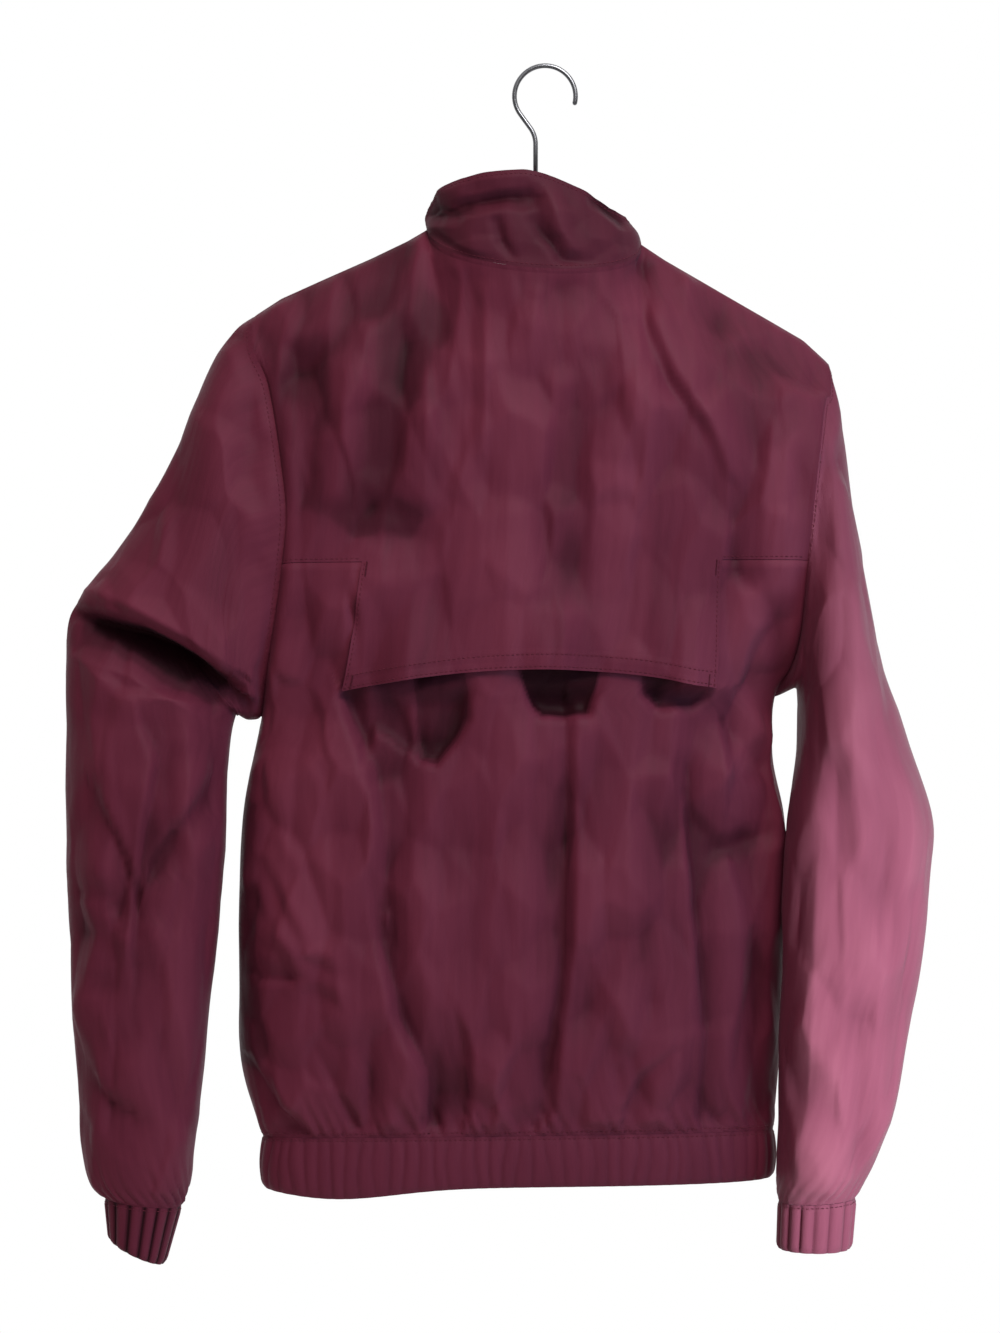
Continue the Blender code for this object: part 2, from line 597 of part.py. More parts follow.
def make_band(nylon):
    columns = 2 * BAND_WAVES
    grid = band_points(BAND_LEFT_Z, BAND_RIGHT_Z, columns, 2)
    normals = body_ring_outward(grid)
    normals[..., 2] = 0
    normals = unit(normals)
    at = np.arange(columns + 1)
    wave = BAND_WAVE * np.where(at % 2, -1.0, 1.0) * smooth(0, 4, at) * smooth(0, 4, at[::-1])
    strength = np.array([0.5, 1.0, 0.8])[:, None]
    ringed = grid + normals * (strength * wave)[..., None]
    ringed = drawn_back(ringed, row_start=SEAM)
    wall("hem_band", ringed, normals, nylon)
    return grid


def body_ring_outward(grid):
    along, down = np.gradient(grid, axis=1), np.gradient(grid, axis=0)
    normals = unit(np.cross(along, down))
    centre = grid.mean(axis=1, keepdims=True)
    return normals * np.sign(((grid - centre) * normals).sum())


def make_cuff(name, sleeve_end, end_row, nylon):
    """A gathered elastic casing from the sleeve's last ring down to the cuff's open end."""
    columns = 3 * CUFF_WAVES
    start = closed_resampled(sleeve_end, columns)
    angle = 2 * math.pi * np.arange(240) / 240
    end = closed_resampled(sleeve_ring(named(SECTION, end_row), angle), columns)
    rows = [start + (end - start) * t for t in np.linspace(0, 1, 3)]
    grid = np.array(rows)
    normals = sleeve_outward(grid)
    wave = CUFF_WAVE * np.cos(2 * math.pi * np.arange(columns) / 3)
    strength = np.array([0.4, 1.0, 0.8])[:, None]
    ringed = grid + normals * (strength * wave)[..., None]
    ringed = drawn_back(ringed, row_start=SEAM)
    return wall(name, ringed, normals, nylon, wrap=True)


def closed_resampled(ring, count):
    return resampled(np.concatenate([ring, ring[:1]]), count)[:-1]


def collar_top(angle):
    """A point of the collar's top edge, at an angle round the neck."""
    table = np.array(COLLAR_TOPS)
    rad = math.radians(angle)
    depth = COLLAR_TOP_BACK if math.sin(rad) > 0 else COLLAR_TOP_FRONT
    z = np.interp(angle, table[:, 0], table[:, 1])
    return (COLLAR_TOP_CENTRE + COLLAR_TOP_HALF * math.cos(rad), depth * math.sin(rad), z)


def collar_surface(neck_line):
    """The stand collar, from the neck seam up to its top edge."""
    top = [collar_top(a) for a in np.linspace(-90, 270, 361)]
    top = np.array(top)
    left = cut_at(top[90::-1], ZIP_X + ZIP_HALF_GAP, 1)[::-1]
    right = cut_at(top[270:], ZIP_X - ZIP_HALF_GAP, -1)
    side, middle = FRONT_COLUMNS[1], BACK_COLUMNS[1]
    top = join(resampled(left, side), resampled(top[90:271], middle), resampled(right, side))
    rise = np.linspace(0, 1, COLLAR_ROWS + 1)[:, None, None]
    swell = 2.5 * np.sin(math.pi * rise)
    grid = neck_line[None] * (1 - rise) + top[None] * rise
    out = body_ring_outward(grid)
    calm = smooth(0, 3, np.arange(len(top))) * smooth(0, 3, np.arange(len(top))[::-1])
    grid = grid + out * swell * calm[None, :, None]
    behind = np.clip(out[..., 1], 0, 1)
    fade = np.minimum(1, np.arange(COLLAR_ROWS + 1))[:, None]
    return folded(grid, out, COLLAR_FOLDS, behind * fade * calm)


# ---------------------------------------------------------------- zip and hanger

def block(name, low, high, finish, bevel=0.0):
    corners = [(x, y, z) for x in (low[0], high[0]) for y in (low[1], high[1]) for z in (low[2], high[2])]
    faces = [(0, 1, 3, 2), (4, 6, 7, 5), (0, 4, 5, 1), (2, 3, 7, 6), (0, 2, 6, 4), (1, 5, 7, 3)]
    made = solid(name, np.array(corners) * MM, [list(f) for f in faces], finish)
    shape = bmesh.new()
    shape.from_mesh(made.data)
    bmesh.ops.recalc_face_normals(shape, faces=shape.faces)
    if bevel:
        bmesh.ops.bevel(shape, geom=shape.edges[:], offset=bevel * MM, segments=1, affect="EDGES")
    shape.to_mesh(made.data)
    shape.free()
    return made


def combine(base, others, operation):
    """Adds or cuts the other blocks, which then serve as hidden cutters."""
    for other in others:
        modifier = base.modifiers.new(other.name, "BOOLEAN")
        modifier.operation = operation
        modifier.solver = "EXACT"
        modifier.object = other
        other.hide_render = True
        other.display_type = "WIRE"
    return base


def strip(name, line, x_low, x_high, y_face, thick, finish):
    """A flat strip along the zip: line gives (y, z) of the cloth's face, y_face how far behind it the strip lies."""
    points = []
    for y, z in line:
        points += [(x_low, y + y_face, z), (x_high, y + y_face, z), (x_high, y + y_face + thick, z), (x_low, y + y_face + thick, z)]
    faces = [[0, 1, 2, 3]]
    for i in range(len(line) - 1):
        a, b = 4 * i, 4 * i + 4
        for j in range(4):
            k = (j + 1) % 4
            faces.append([a + k, a + j, b + j, b + k])
    last = 4 * (len(line) - 1)
    faces.append([last + 3, last + 2, last + 1, last])
    made = solid(name, np.array(points) * MM, faces, finish)
    shape = bmesh.new()
    shape.from_mesh(made.data)
    bmesh.ops.recalc_face_normals(shape, faces=shape.faces)
    shape.to_mesh(made.data)
    shape.free()
    return made


def make_zip(line, tape_finish, metal):
    """Two tapes, the closed chain, the box at the foot, and the slider with its hinged pull tab."""
    top_y, top_z = line[-1]
    post = 2.4
    end_z = top_z - 2.0 - post
    line = [p for p in line if p[1] < end_z - 4] + [(top_y, end_z - SEAM)]
    slider_foot = top_z - 2.0 - SLIDER_LONG
    reach = ZIP_HALF_GAP + TAPE_UNDER
    under = WALL + TAPE_LAP
    strip("zip_tape_left", line, ZIP_X + SEAM / 2, ZIP_X + reach, under, TAPE_THICK, tape_finish)
    strip("zip_tape_right", line, ZIP_X - reach, ZIP_X - SEAM / 2, under, TAPE_THICK, tape_finish)
    box_long = 8.0
    foot_y, foot_z = line[0]
    chain_face = under - LAP - CHAIN_THICK
    chain = [(foot_y, foot_z + box_long)] + [p for p in line if foot_z + box_long + 4 < p[1] < slider_foot - 4]
    chain.append((top_y, slider_foot - SEAM))
    strip("zip_chain", chain, ZIP_X - CHAIN_HALF, ZIP_X + CHAIN_HALF, chain_face, CHAIN_THICK, metal)
    block("zip_box", (ZIP_X - 3.6, foot_y + chain_face - 0.5, foot_z + 0.5),
          (ZIP_X + 3.6, foot_y + under - LAP, foot_z + box_long - SEAM), metal, bevel=0.5)
    make_slider(top_y, top_z - 2.0, chain_face, under, post, metal)


def make_slider(y, z_top, chain_face, under, post, metal):
    z_low = z_top - SLIDER_LONG
    face = y + chain_face - 0.3
    behind = y + under + TAPE_THICK + LAP
    body = block("zip_slider", (ZIP_X - SLIDER_HALF, face - PLATE, z_low), (ZIP_X + SLIDER_HALF, face, z_top), metal, bevel=0.35)
    rear = block("cut_slider_rear", (ZIP_X - SLIDER_HALF, behind, z_low), (ZIP_X + SLIDER_HALF, behind + PLATE, z_top), metal)
    stem = block("cut_slider_post", (ZIP_X - 1.6, face - 0.5, z_top - post + 0.4), (ZIP_X + 1.6, behind + 0.5, z_top - 0.4), metal)
    pivot_y, pivot_z = face - PLATE - 1.35, (z_top + z_low) / 2
    arch_top = face - PLATE - 2.7
    foot_low = block("cut_bridge_low", (ZIP_X - 0.8, arch_top - 0.6, pivot_z - 4.3), (ZIP_X + 0.8, face - 0.5, pivot_z - 2.8), metal)
    foot_high = block("cut_bridge_high", (ZIP_X - 0.8, arch_top - 0.6, pivot_z + 2.8), (ZIP_X + 0.8, face - 0.5, pivot_z + 4.3), metal)
    bar = block("cut_bridge_bar", (ZIP_X - 0.8, arch_top - 1.2, pivot_z - 4.3), (ZIP_X + 0.8, arch_top, pivot_z + 4.3), metal)
    combine(body, [rear, stem, foot_low, foot_high, bar], "UNION")
    half = PULL_THICK / 2
    tab = block("zip_pull", (ZIP_X - PULL_HALF, pivot_y - half, pivot_z - PULL_LONG), (ZIP_X + PULL_HALF, pivot_y + half, pivot_z + half), metal, bevel=0.3)
    eye = block("cut_pull_eye", (ZIP_X - 1.9, pivot_y - 3, pivot_z - 5.4), (ZIP_X + 1.9, pivot_y + 3, pivot_z - half), metal)
    combine(tab, [eye], "DIFFERENCE")
    print("pull tab pivot", round(ZIP_X, 3), round(pivot_y, 3), round(pivot_z, 3))


def beneath(points, drop):
    """A line square below a sloping one."""
    line = np.array(points)
    run = unit(np.gradient(line, axis=0))
    down = np.stack([run[:, 1], -run[:, 0]], axis=1)
    down *= -np.sign(down[:, 1:])
    return [tuple(p) for p in line + down * drop]


def make_hanger(plastic, steel):
    """Two arms under the shoulder seams, and the hook that the whole part hangs by."""
    drop = WALL + LAP + ARM_UNDER + ARM_HALF_HEIGHT
    left, right = beneath(SHOULDER_LEFT, drop), beneath(SHOULDER_RIGHT, drop)
    spine = left + [(STEM_X, ARM_CENTRE_Z)] + right[::-1]
    line = resampled([(x, 0, z) for x, z in spine], 120)
    run = np.linalg.norm(np.diff(line, axis=0), axis=1).sum() / 120
    skip = int(round(ARM_TIP_INSET / run))
    line = resampled(line[skip:-skip], 26)
    tangent = unit(np.gradient(line, axis=0))
    across = np.stack([-tangent[:, 2], 0 * tangent[:, 0], tangent[:, 0]], axis=1)
    across *= np.sign(across[:, 2:3])
    sides = 10
    angle = 2 * math.pi * (np.arange(sides) + 0.5) / sides
    at = np.arange(len(line))
    taper = 0.6 + 0.4 * smooth(0, 2, np.minimum(at, at[::-1]))
    rings = []
    for point, up, size in zip(line, across, taper):
        lift = ARM_HALF_HEIGHT * (1 - size)
        ring = [point + up * (math.sin(a) * ARM_HALF_HEIGHT * size + lift) + np.array([0, math.cos(a) * ARM_HALF_WIDTH * size, 0]) for a in angle]
        rings.append(ring)
    points = np.array(rings).reshape(-1, 3)
    faces = []
    for i in range(len(line) - 1):
        for j in range(sides):
            k = (j + 1) % sides
            faces.append([i * sides + j, i * sides + k, (i + 1) * sides + k, (i + 1) * sides + j])
    faces.append(list(range(sides))[::-1])
    faces.append([(len(line) - 1) * sides + j for j in range(sides)])
    arms = solid("hanger_arms", points * MM, faces, plastic)
    shape = bmesh.new()
    shape.from_mesh(arms.data)
    bmesh.ops.recalc_face_normals(shape, faces=shape.faces)
    shape.to_mesh(arms.data)
    shape.free()
    make_hook(steel)


def make_hook(steel):
    centre_z = WIRE_RADIUS - HOOK_RADIUS
    path = [(HOOK_RADIUS * math.cos(math.radians(a)), centre_z + HOOK_RADIUS * math.sin(math.radians(a)))
            for a in np.linspace(HOOK_TIP_DEG, HOOK_END_DEG, 28)]
    foot = STEM_FOOT_Z
    path += STEM_BEND + [(STEM_X, -57.0), (STEM_X, foot)]
    curve = bpy.data.curves.new("hook", "CURVE")
    curve.dimensions = "3D"
    curve.bevel_depth = WIRE_RADIUS * MM
    curve.bevel_resolution = 2
    curve.use_fill_caps = True
    spline = curve.splines.new("POLY")
    spline.points.add(len(path) - 1)
    for point, (x, z) in zip(spline.points, path):
        point.co = (x * MM, 0, z * MM, 1)
    curve.materials.append(steel)
    made = bpy.data.objects.new("hanger_hook", curve)
    bpy.context.scene.collection.objects.link(made)
    return made


# ---------------------------------------------------------------- putting it together

def main():
    for old in list(bpy.data.objects):
        bpy.data.objects.remove(old)
    nylon = material("burgundy_nylon", (0.115, 0.018, 0.033), 0.5)
    tape = material("zip_tape", (0.07, 0.012, 0.022), 0.8)
    steel = material("hook_steel", (0.35, 0.35, 0.36), 0.3, 1.0)
    metal = material("zip_metal", (0.25, 0.25, 0.26), 0.35, 1.0)
    plastic = material("hanger_plastic", (0.05, 0.05, 0.055), 0.45)

    back, fronts = make_body(nylon)
    back_out = body_outward(back, 1)
    outs = {side: body_outward(grid, -1) for side, grid in fronts.items()}

    # sleeves: their first ring is the armhole edge of the back and the front
    sleeves = {}
    for side, column, table, steps, folds in (
        ("left", 0, SLEEVE_LEFT, [1, 1, 2, 1, 2, 2, 2, 1, 1, 1, 1, 1, 1, 1, 1], (SLEEVE_LEFT_BACK_FOLDS, SLEEVE_LEFT_FRONT_FOLDS)),
        ("right", -1, SLEEVE_RIGHT, [1, 2, 2, 2, 1, 1, 1, 1, 2, 1, 1, 1], (SLEEVE_RIGHT_BACK_FOLDS, SLEEVE_RIGHT_FRONT_FOLDS)),
    ):
        behind = back[UNDERARM:, column][::-1]
        before = fronts[side][UNDERARM:, 0]
        armhole = np.concatenate([behind, before[1:-1]])
        sleeves[side] = sleeve_surface(armhole, table, steps, *folds)
    sleeve_outs = {side: sleeve_outward(grid) for side, grid in sleeves.items()}

    # collar: its first row is the neck edge of the fronts and the back
    shoulder_columns, middle = BACK_COLUMNS[0], BACK_COLUMNS[1]
    over = FRONT_COLUMNS[0]
    neck_line = join(fronts["left"][-1, over:][::-1], back[-1, shoulder_columns:shoulder_columns + middle + 1],
                     fronts["right"][-1, over:])
    collar = collar_surface(neck_line)
    collar_out = body_ring_outward(collar)

    # the walls' directions along the seams
    share_seam(back_out, (slice(0, UNDERARM + 1), 0), outs["left"], (slice(0, UNDERARM + 1), 0))
    share_seam(back_out, (slice(0, UNDERARM + 1), -1), outs["right"], (slice(0, UNDERARM + 1), 0))
    columns = sum(BACK_COLUMNS)
    share_seam(back_out, (-1, slice(0, over + 1)), outs["left"], (-1, slice(0, over + 1)))
    share_seam(back_out, (-1, slice(columns - over, columns + 1)), outs["right"], (-1, slice(over, None, -1)))
    side, count = FRONT_COLUMNS[1], collar.shape[1]
    share_seam(collar_out, (0, slice(side, side + middle + 1)), back_out, (-1, slice(shoulder_columns, shoulder_columns + middle + 1)))
    share_seam(collar_out, (0, slice(side, None, -1)), outs["left"], (-1, slice(over, None)))
    share_seam(collar_out, (0, slice(count - 1 - side, None)), outs["right"], (-1, slice(over, None)))
    share_corner((collar_out, (0, side)), (outs["left"], (-1, over)), (back_out, (-1, over)))
    share_corner((collar_out, (0, side + middle)), (outs["right"], (-1, over)), (back_out, (-1, columns - over)))
    for name, column in (("left", 0), ("right", -1)):
        ring = 2 * ARMHOLE_STEPS
        share_seam(sleeve_outs[name], (0, slice(0, ARMHOLE_STEPS + 1)), back_out, (slice(None, UNDERARM - 1, -1), column))
        share_seam(sleeve_outs[name], (0, np.arange(ARMHOLE_STEPS, ring)), outs[name], (slice(UNDERARM, -1), 0))
        share_corner((sleeve_outs[name], (0, 0)), (outs[name], (-1, 0)), (back_out, (-1, column)))
        share_corner((sleeve_outs[name], (0, ARMHOLE_STEPS)), (outs[name], (UNDERARM, 0)), (back_out, (UNDERARM, column)))
    for out in (back_out, *outs.values()):
        out[0, :, 2] = 0
        out[0] = unit(out[0])

    eased(back_out)
    for out in sleeve_outs.values():
        eased(out, wrap=True)

    gap = SEAM / 2
    for name, grid in fronts.items():
        wall("front_" + name, drawn_back(grid, 0, gap, gap, 0), outs[name], nylon)
    for name, grid in sleeves.items():
        wall("sleeve_" + name, drawn_back(grid, gap, 0), sleeve_outs[name], nylon, wrap=True)
    wall("collar", drawn_back(collar, gap), collar_out, nylon)
    make_back_pieces(back, back_out, gap, nylon)
    band = make_band(nylon)
    make_cuff("cuff_left", sleeves["left"][-1], CUFF_LEFT_END, nylon)
    make_cuff("cuff_right", sleeves["right"][-1], CUFF_RIGHT_END, nylon)

    edge = join(band[::-1, 0], fronts["left"][:, -1], collar[:, 0])
    line = [(y, z) for _, y, z in edge]
    make_zip(line, tape, metal)
    make_hanger(plastic, steel)


def make_back_pieces(back, back_out, gap, nylon):
    """The back panel up to its seam under the yoke, and the yoke with the storm flap over it."""
    x = back[FLAP_EDGE, :, 0]
    first = int(np.argmin(np.abs(x - FLAP_X_LEFT)))
    last = int(np.argmin(np.abs(x - FLAP_X_RIGHT)))
    rows, columns = back.shape[:2]
    under = np.zeros((rows, columns), bool)
    under[YOKE_SEAM:] = True
    under[FLAP_EDGE - 1:, first - 1:last + 2] = True
    lower = back - back_out * (np.where(under, WALL + LAP, 0))[..., None]
    lower = drawn_back(lower, 0, 0, gap, gap)
    used = np.ones((rows - 1, columns - 1), bool)
    used[YOKE_SEAM + 1:] = False
    used[YOKE_SEAM, [0, -1]] = False
    wall("back_panel", lower, back_out, nylon, used)

    yoke = back.copy()
    at = np.arange(columns)
    across = smooth(first, first + 4, at) * (1 - smooth(last - 4, last, at))
    hang = 1 - smooth(FLAP_EDGE, YOKE_SEAM, np.arange(rows))
    stand = FLAP_REST + 0 * yoke[..., 0]
    for row in FLAP_BULGES:
        bulge = named(BULGE, row)
        stand += bulge["stand"] * np.exp(-(((yoke[..., 0] - bulge["x"]) / bulge["half_width"]) ** 2)) * across
    lift = stand * hang[:, None]
    yoke = yoke + back_out * lift[..., None]
    half = (FLAP_X_LEFT - FLAP_X_RIGHT) / 2
    centre = (FLAP_X_LEFT + FLAP_X_RIGHT) / 2
    dip = FLAP_CORNER_DIP * np.clip(np.abs(yoke[..., 0] - centre) / half, 0, 1) ** 2
    yoke[..., 2] -= dip * hang[:, None]
    yoke = drawn_back(yoke, 0, gap, gap, gap)
    used = np.zeros((rows - 1, columns - 1), bool)
    used[YOKE_SEAM:] = True
    used[FLAP_EDGE:YOKE_SEAM, first:last] = True
    wall("back_yoke", yoke, back_out, nylon, used)


main()
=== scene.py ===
"""The windbreaker's cloth, zip, hanger and studio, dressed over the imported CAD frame."""
import math

import bpy
import numpy as np
from mathutils import Matrix, Vector


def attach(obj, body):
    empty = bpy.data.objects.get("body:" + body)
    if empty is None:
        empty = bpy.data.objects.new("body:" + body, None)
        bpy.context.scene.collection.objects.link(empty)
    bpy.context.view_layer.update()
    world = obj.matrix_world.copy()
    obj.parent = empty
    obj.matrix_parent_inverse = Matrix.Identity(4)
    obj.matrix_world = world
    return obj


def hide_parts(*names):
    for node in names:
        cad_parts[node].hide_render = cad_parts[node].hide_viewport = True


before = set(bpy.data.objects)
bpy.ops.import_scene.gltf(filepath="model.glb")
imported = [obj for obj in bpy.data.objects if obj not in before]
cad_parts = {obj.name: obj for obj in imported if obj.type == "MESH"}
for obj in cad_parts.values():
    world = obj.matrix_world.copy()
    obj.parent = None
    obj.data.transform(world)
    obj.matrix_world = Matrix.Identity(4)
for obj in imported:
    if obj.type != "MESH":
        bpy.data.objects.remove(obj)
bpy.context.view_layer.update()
MM = 0.001

# ---------------------------------------------------------------- driving sizes, in millimetres, as in the part

ZIP_X, ZIP_HALF_GAP = 10, 7
FINE = 6  # columns of cloth for each column of the solids
BACK_COLUMNS = (9 * FINE, 14 * FINE, 9 * FINE)  # left shoulder, neck, right shoulder
FRONT_COLUMNS = (9 * FINE, 6 * FINE)  # shoulder, half of the front neck
CLOTH, DOUBLED = 0.9, 1.3  # one layer with its seam allowances, and a turned hem or casing
NIP = 0.012  # how far each sewn edge stops short of its seam

LEVEL = ("x_left", "z_left", "x_right", "z_right", "back", "front", "square", "rise_back", "rise_front")
BODY_LEVELS = [
    (203, -768, -164, -763, 50, 48, 2.9, 4, 0),
    (217.5, -722, -168, -720, 60, 55, 2.8, 0, 0),
    (220, -657, -172, -657, 62, 56, 2.7, 0, 0),
    (220, -592, -174, -592, 59, 54, 2.6, 0, 0),
    (216.5, -530, -172, -537, 55, 51, 2.5, 0, 0),
    (208, -487, -163.5, -490, 51, 49, 2.4, 0, 0),
]
ARMHOLE = ("x_left", "z_left", "back_left", "x_right", "z_right", "back_right")
ARMHOLES = [
    (204, -467, 1, -165, -453, 1),
    (199, -434, 15, -176, -430, 19),
    (187.5, -358, 30, -185, -356, 42),
    (184.5, -322, 32, -189, -318, 45),
    (189, -280, 30, -194, -278, 41),
    (197, -233, 24, -199, -245, 27),
]
UPPER = ("back", "front", "square", "rise_back", "rise_front")
UPPER_LEVELS = [
    (49, 48, 2.2, 0, 0),
    (48, 47, 2.2, -2, -6),
    (47, 46, 2.1, 0, -10),
    (47, 45, 2.1, 2, -14),
    (47, 44, 2, 6, -20),
    (46.5, 43, 2, 16, -24),
]
FRONT_SCOOP, FRONT_FLATTER = 10, 0.86
SHOULDER_LEFT = [(210, -179), (190, -166), (159, -152), (125, -137), (99, -124.5), (84.5, -116)]
SHOULDER_RIGHT = [(-204.5, -213), (-186, -196), (-162, -182), (-136, -167), (-86, -138), (-69.5, -127)]
NECK_BACK, NECK_FRONT = 46, 42
NECK_DROP_BACK, NECK_DROP_FRONT = 28, 82
ROLL = [{"out": 15, "down": 15, "neck_out": 1, "neck_down": 22},
        {"out": 9.5, "down": 4.5, "neck_out": 0.5, "neck_down": 9}]

SECTION = ("x_outer", "z_outer", "x_inner", "z_inner", "half_depth", "y")
SLEEVE_LEFT = [
    (227, -192, 208, -469, 36, 0.5),
    (237, -208, 212, -469.5, 38, 1),
    (262, -267, 217, -468.5, 40, 2),
    (283, -310, 219.5, -467, 39, 3),
    (312, -353, 221, -466, 36, 4),
    (341, -394, 222, -467, 33, 4),
    (344, -430, 224, -475, 34, 4),
    (344, -477, 226, -490, 38, 5),
    (343, -541, 229.5, -541, 40, 6),
    (343, -599, 233, -599, 38, 6),
    (340.5, -656, 239.5, -656, 36, 6),
    (336, -728, 246, -728, 34, 6),
    (333, -778, 251, -778, 30, 6),
    (325.5, -803, 254.5, -803, 26.5, 6),
    (316, -812, 261, -818, 23.5, 6),
]
SLEEVE_RIGHT = [
    (-212, -253, -174.5, -449, 47, 2),
    (-219, -304, -179, -446.5, 55, 5),
    (-227.5, -361, -181, -449, 60, 9),
    (-240, -426, -180.5, -464, 60, 14),
    (-257, -483, -179, -490, 56, 22),
    (-274.5, -540, -171.5, -536, 50, 30),
    (-272, -582, -168.5, -582, 47, 36),
    (-265.5, -638.5, -166.5, -638.5, 45, 38),
    (-255, -695, -164.5, -695, 42, 39),
    (-244.5, -748, -163.5, -748, 38, 39),
    (-229.5, -787, -163, -787, 33, 39),
    (-219, -806, -164.5, -809, 26, 39),
]
CUFF_LEFT_END = (313, -842, 273, -860, 22.5, 5)
CUFF_RIGHT_END = (-216, -842, -163.5, -842, 26, 38)

FLAP_X_LEFT, FLAP_X_RIGHT = 144, -121
FLAP_REST = 1.4
BULGE = ("x", "half_width", "stand")
FLAP_BULGES = [(101, 33, 13), (-5, 22, 11), (-96, 20, 11)]
FLAP_CORNER_DIP = 14

COLLAR_TOPS = [(-90, -146), (-45, -122), (0, -101), (28, -89), (62, -81.5), (88, -80), (104, -84),
               (118, -90.5), (150, -102), (180, -112), (225, -128), (270, -146)]
COLLAR_TOP_CENTRE, COLLAR_TOP_HALF = 12, 71
COLLAR_TOP_BACK, COLLAR_TOP_FRONT = 40, 42
COLLAR_ROWS = 48

BAND_LEFT_Z, BAND_RIGHT_Z, BAND_SAG = -800, -796, 8
BAND_RIBS, CUFF_RIBS = 80, 15
RIB_COLUMNS, CUFF_RIB_COLUMNS = 9, 12
CASING_ROWS = 16

WIRE_RADIUS, HOOK_RADIUS = 1.75, 22
HOOK_TIP_DEG, HOOK_END_DEG = 193, -36
HOOK_STRAIGHT, STEM_TURN, STEM_FOOT_Z = 12.2, 20, -109.15
WALL, TAPE_LAP, LAP, CHAIN_THICK = 1.4, 1.1, 0.4, 2.2
BOX_LONG, SLIDER_LONG, TOOTH_PITCH = 8, 11, 2.6

# Each piece's flat cut in metres, as laid on the table: width, length, and area in square metres
CUTS = {
    "back_panel_cloth": (0.476, 0.442, 0.191), "back_yoke_cloth": (0.508, 0.303, 0.112),
    "front_cloth_left": (0.268, 0.630, 0.129), "front_cloth_right": (0.286, 0.610, 0.122),
    "sleeve_cloth_left": (0.616, 0.559, 0.176), "sleeve_cloth_right": (0.539, 0.505, 0.144),
    "collar_cloth": (0.452, 0.047, 0.018), "hem_band_cloth": (0.837, 0.036, 0.030),
    "cuff_cloth_left": (0.171, 0.037, 0.0059), "cuff_cloth_right": (0.179, 0.035, 0.0061),
}

# Rows of cloth between one section and the next: below the underarm, then up the armhole
LOWER_STEPS = [16, 22, 22, 20, 14, 8]
UPPER_STEPS = [10, 24, 10, 14, 14, 12, 5, 5]
SLEEVE_LEFT_STEPS = [n * 8 for n in (1, 1, 2, 1, 2, 2, 2, 1, 1, 1, 1, 1, 1, 1, 1)]
SLEEVE_RIGHT_STEPS = [n * 8 for n in (1, 2, 2, 2, 1, 1, 1, 1, 2, 1, 1, 1)]
UNDERARM = sum(LOWER_STEPS)
FLAP_EDGE = UNDERARM + UPPER_STEPS[0]
YOKE_SEAM = FLAP_EDGE + UPPER_STEPS[1]
ARMHOLE_STEPS = sum(UPPER_STEPS)

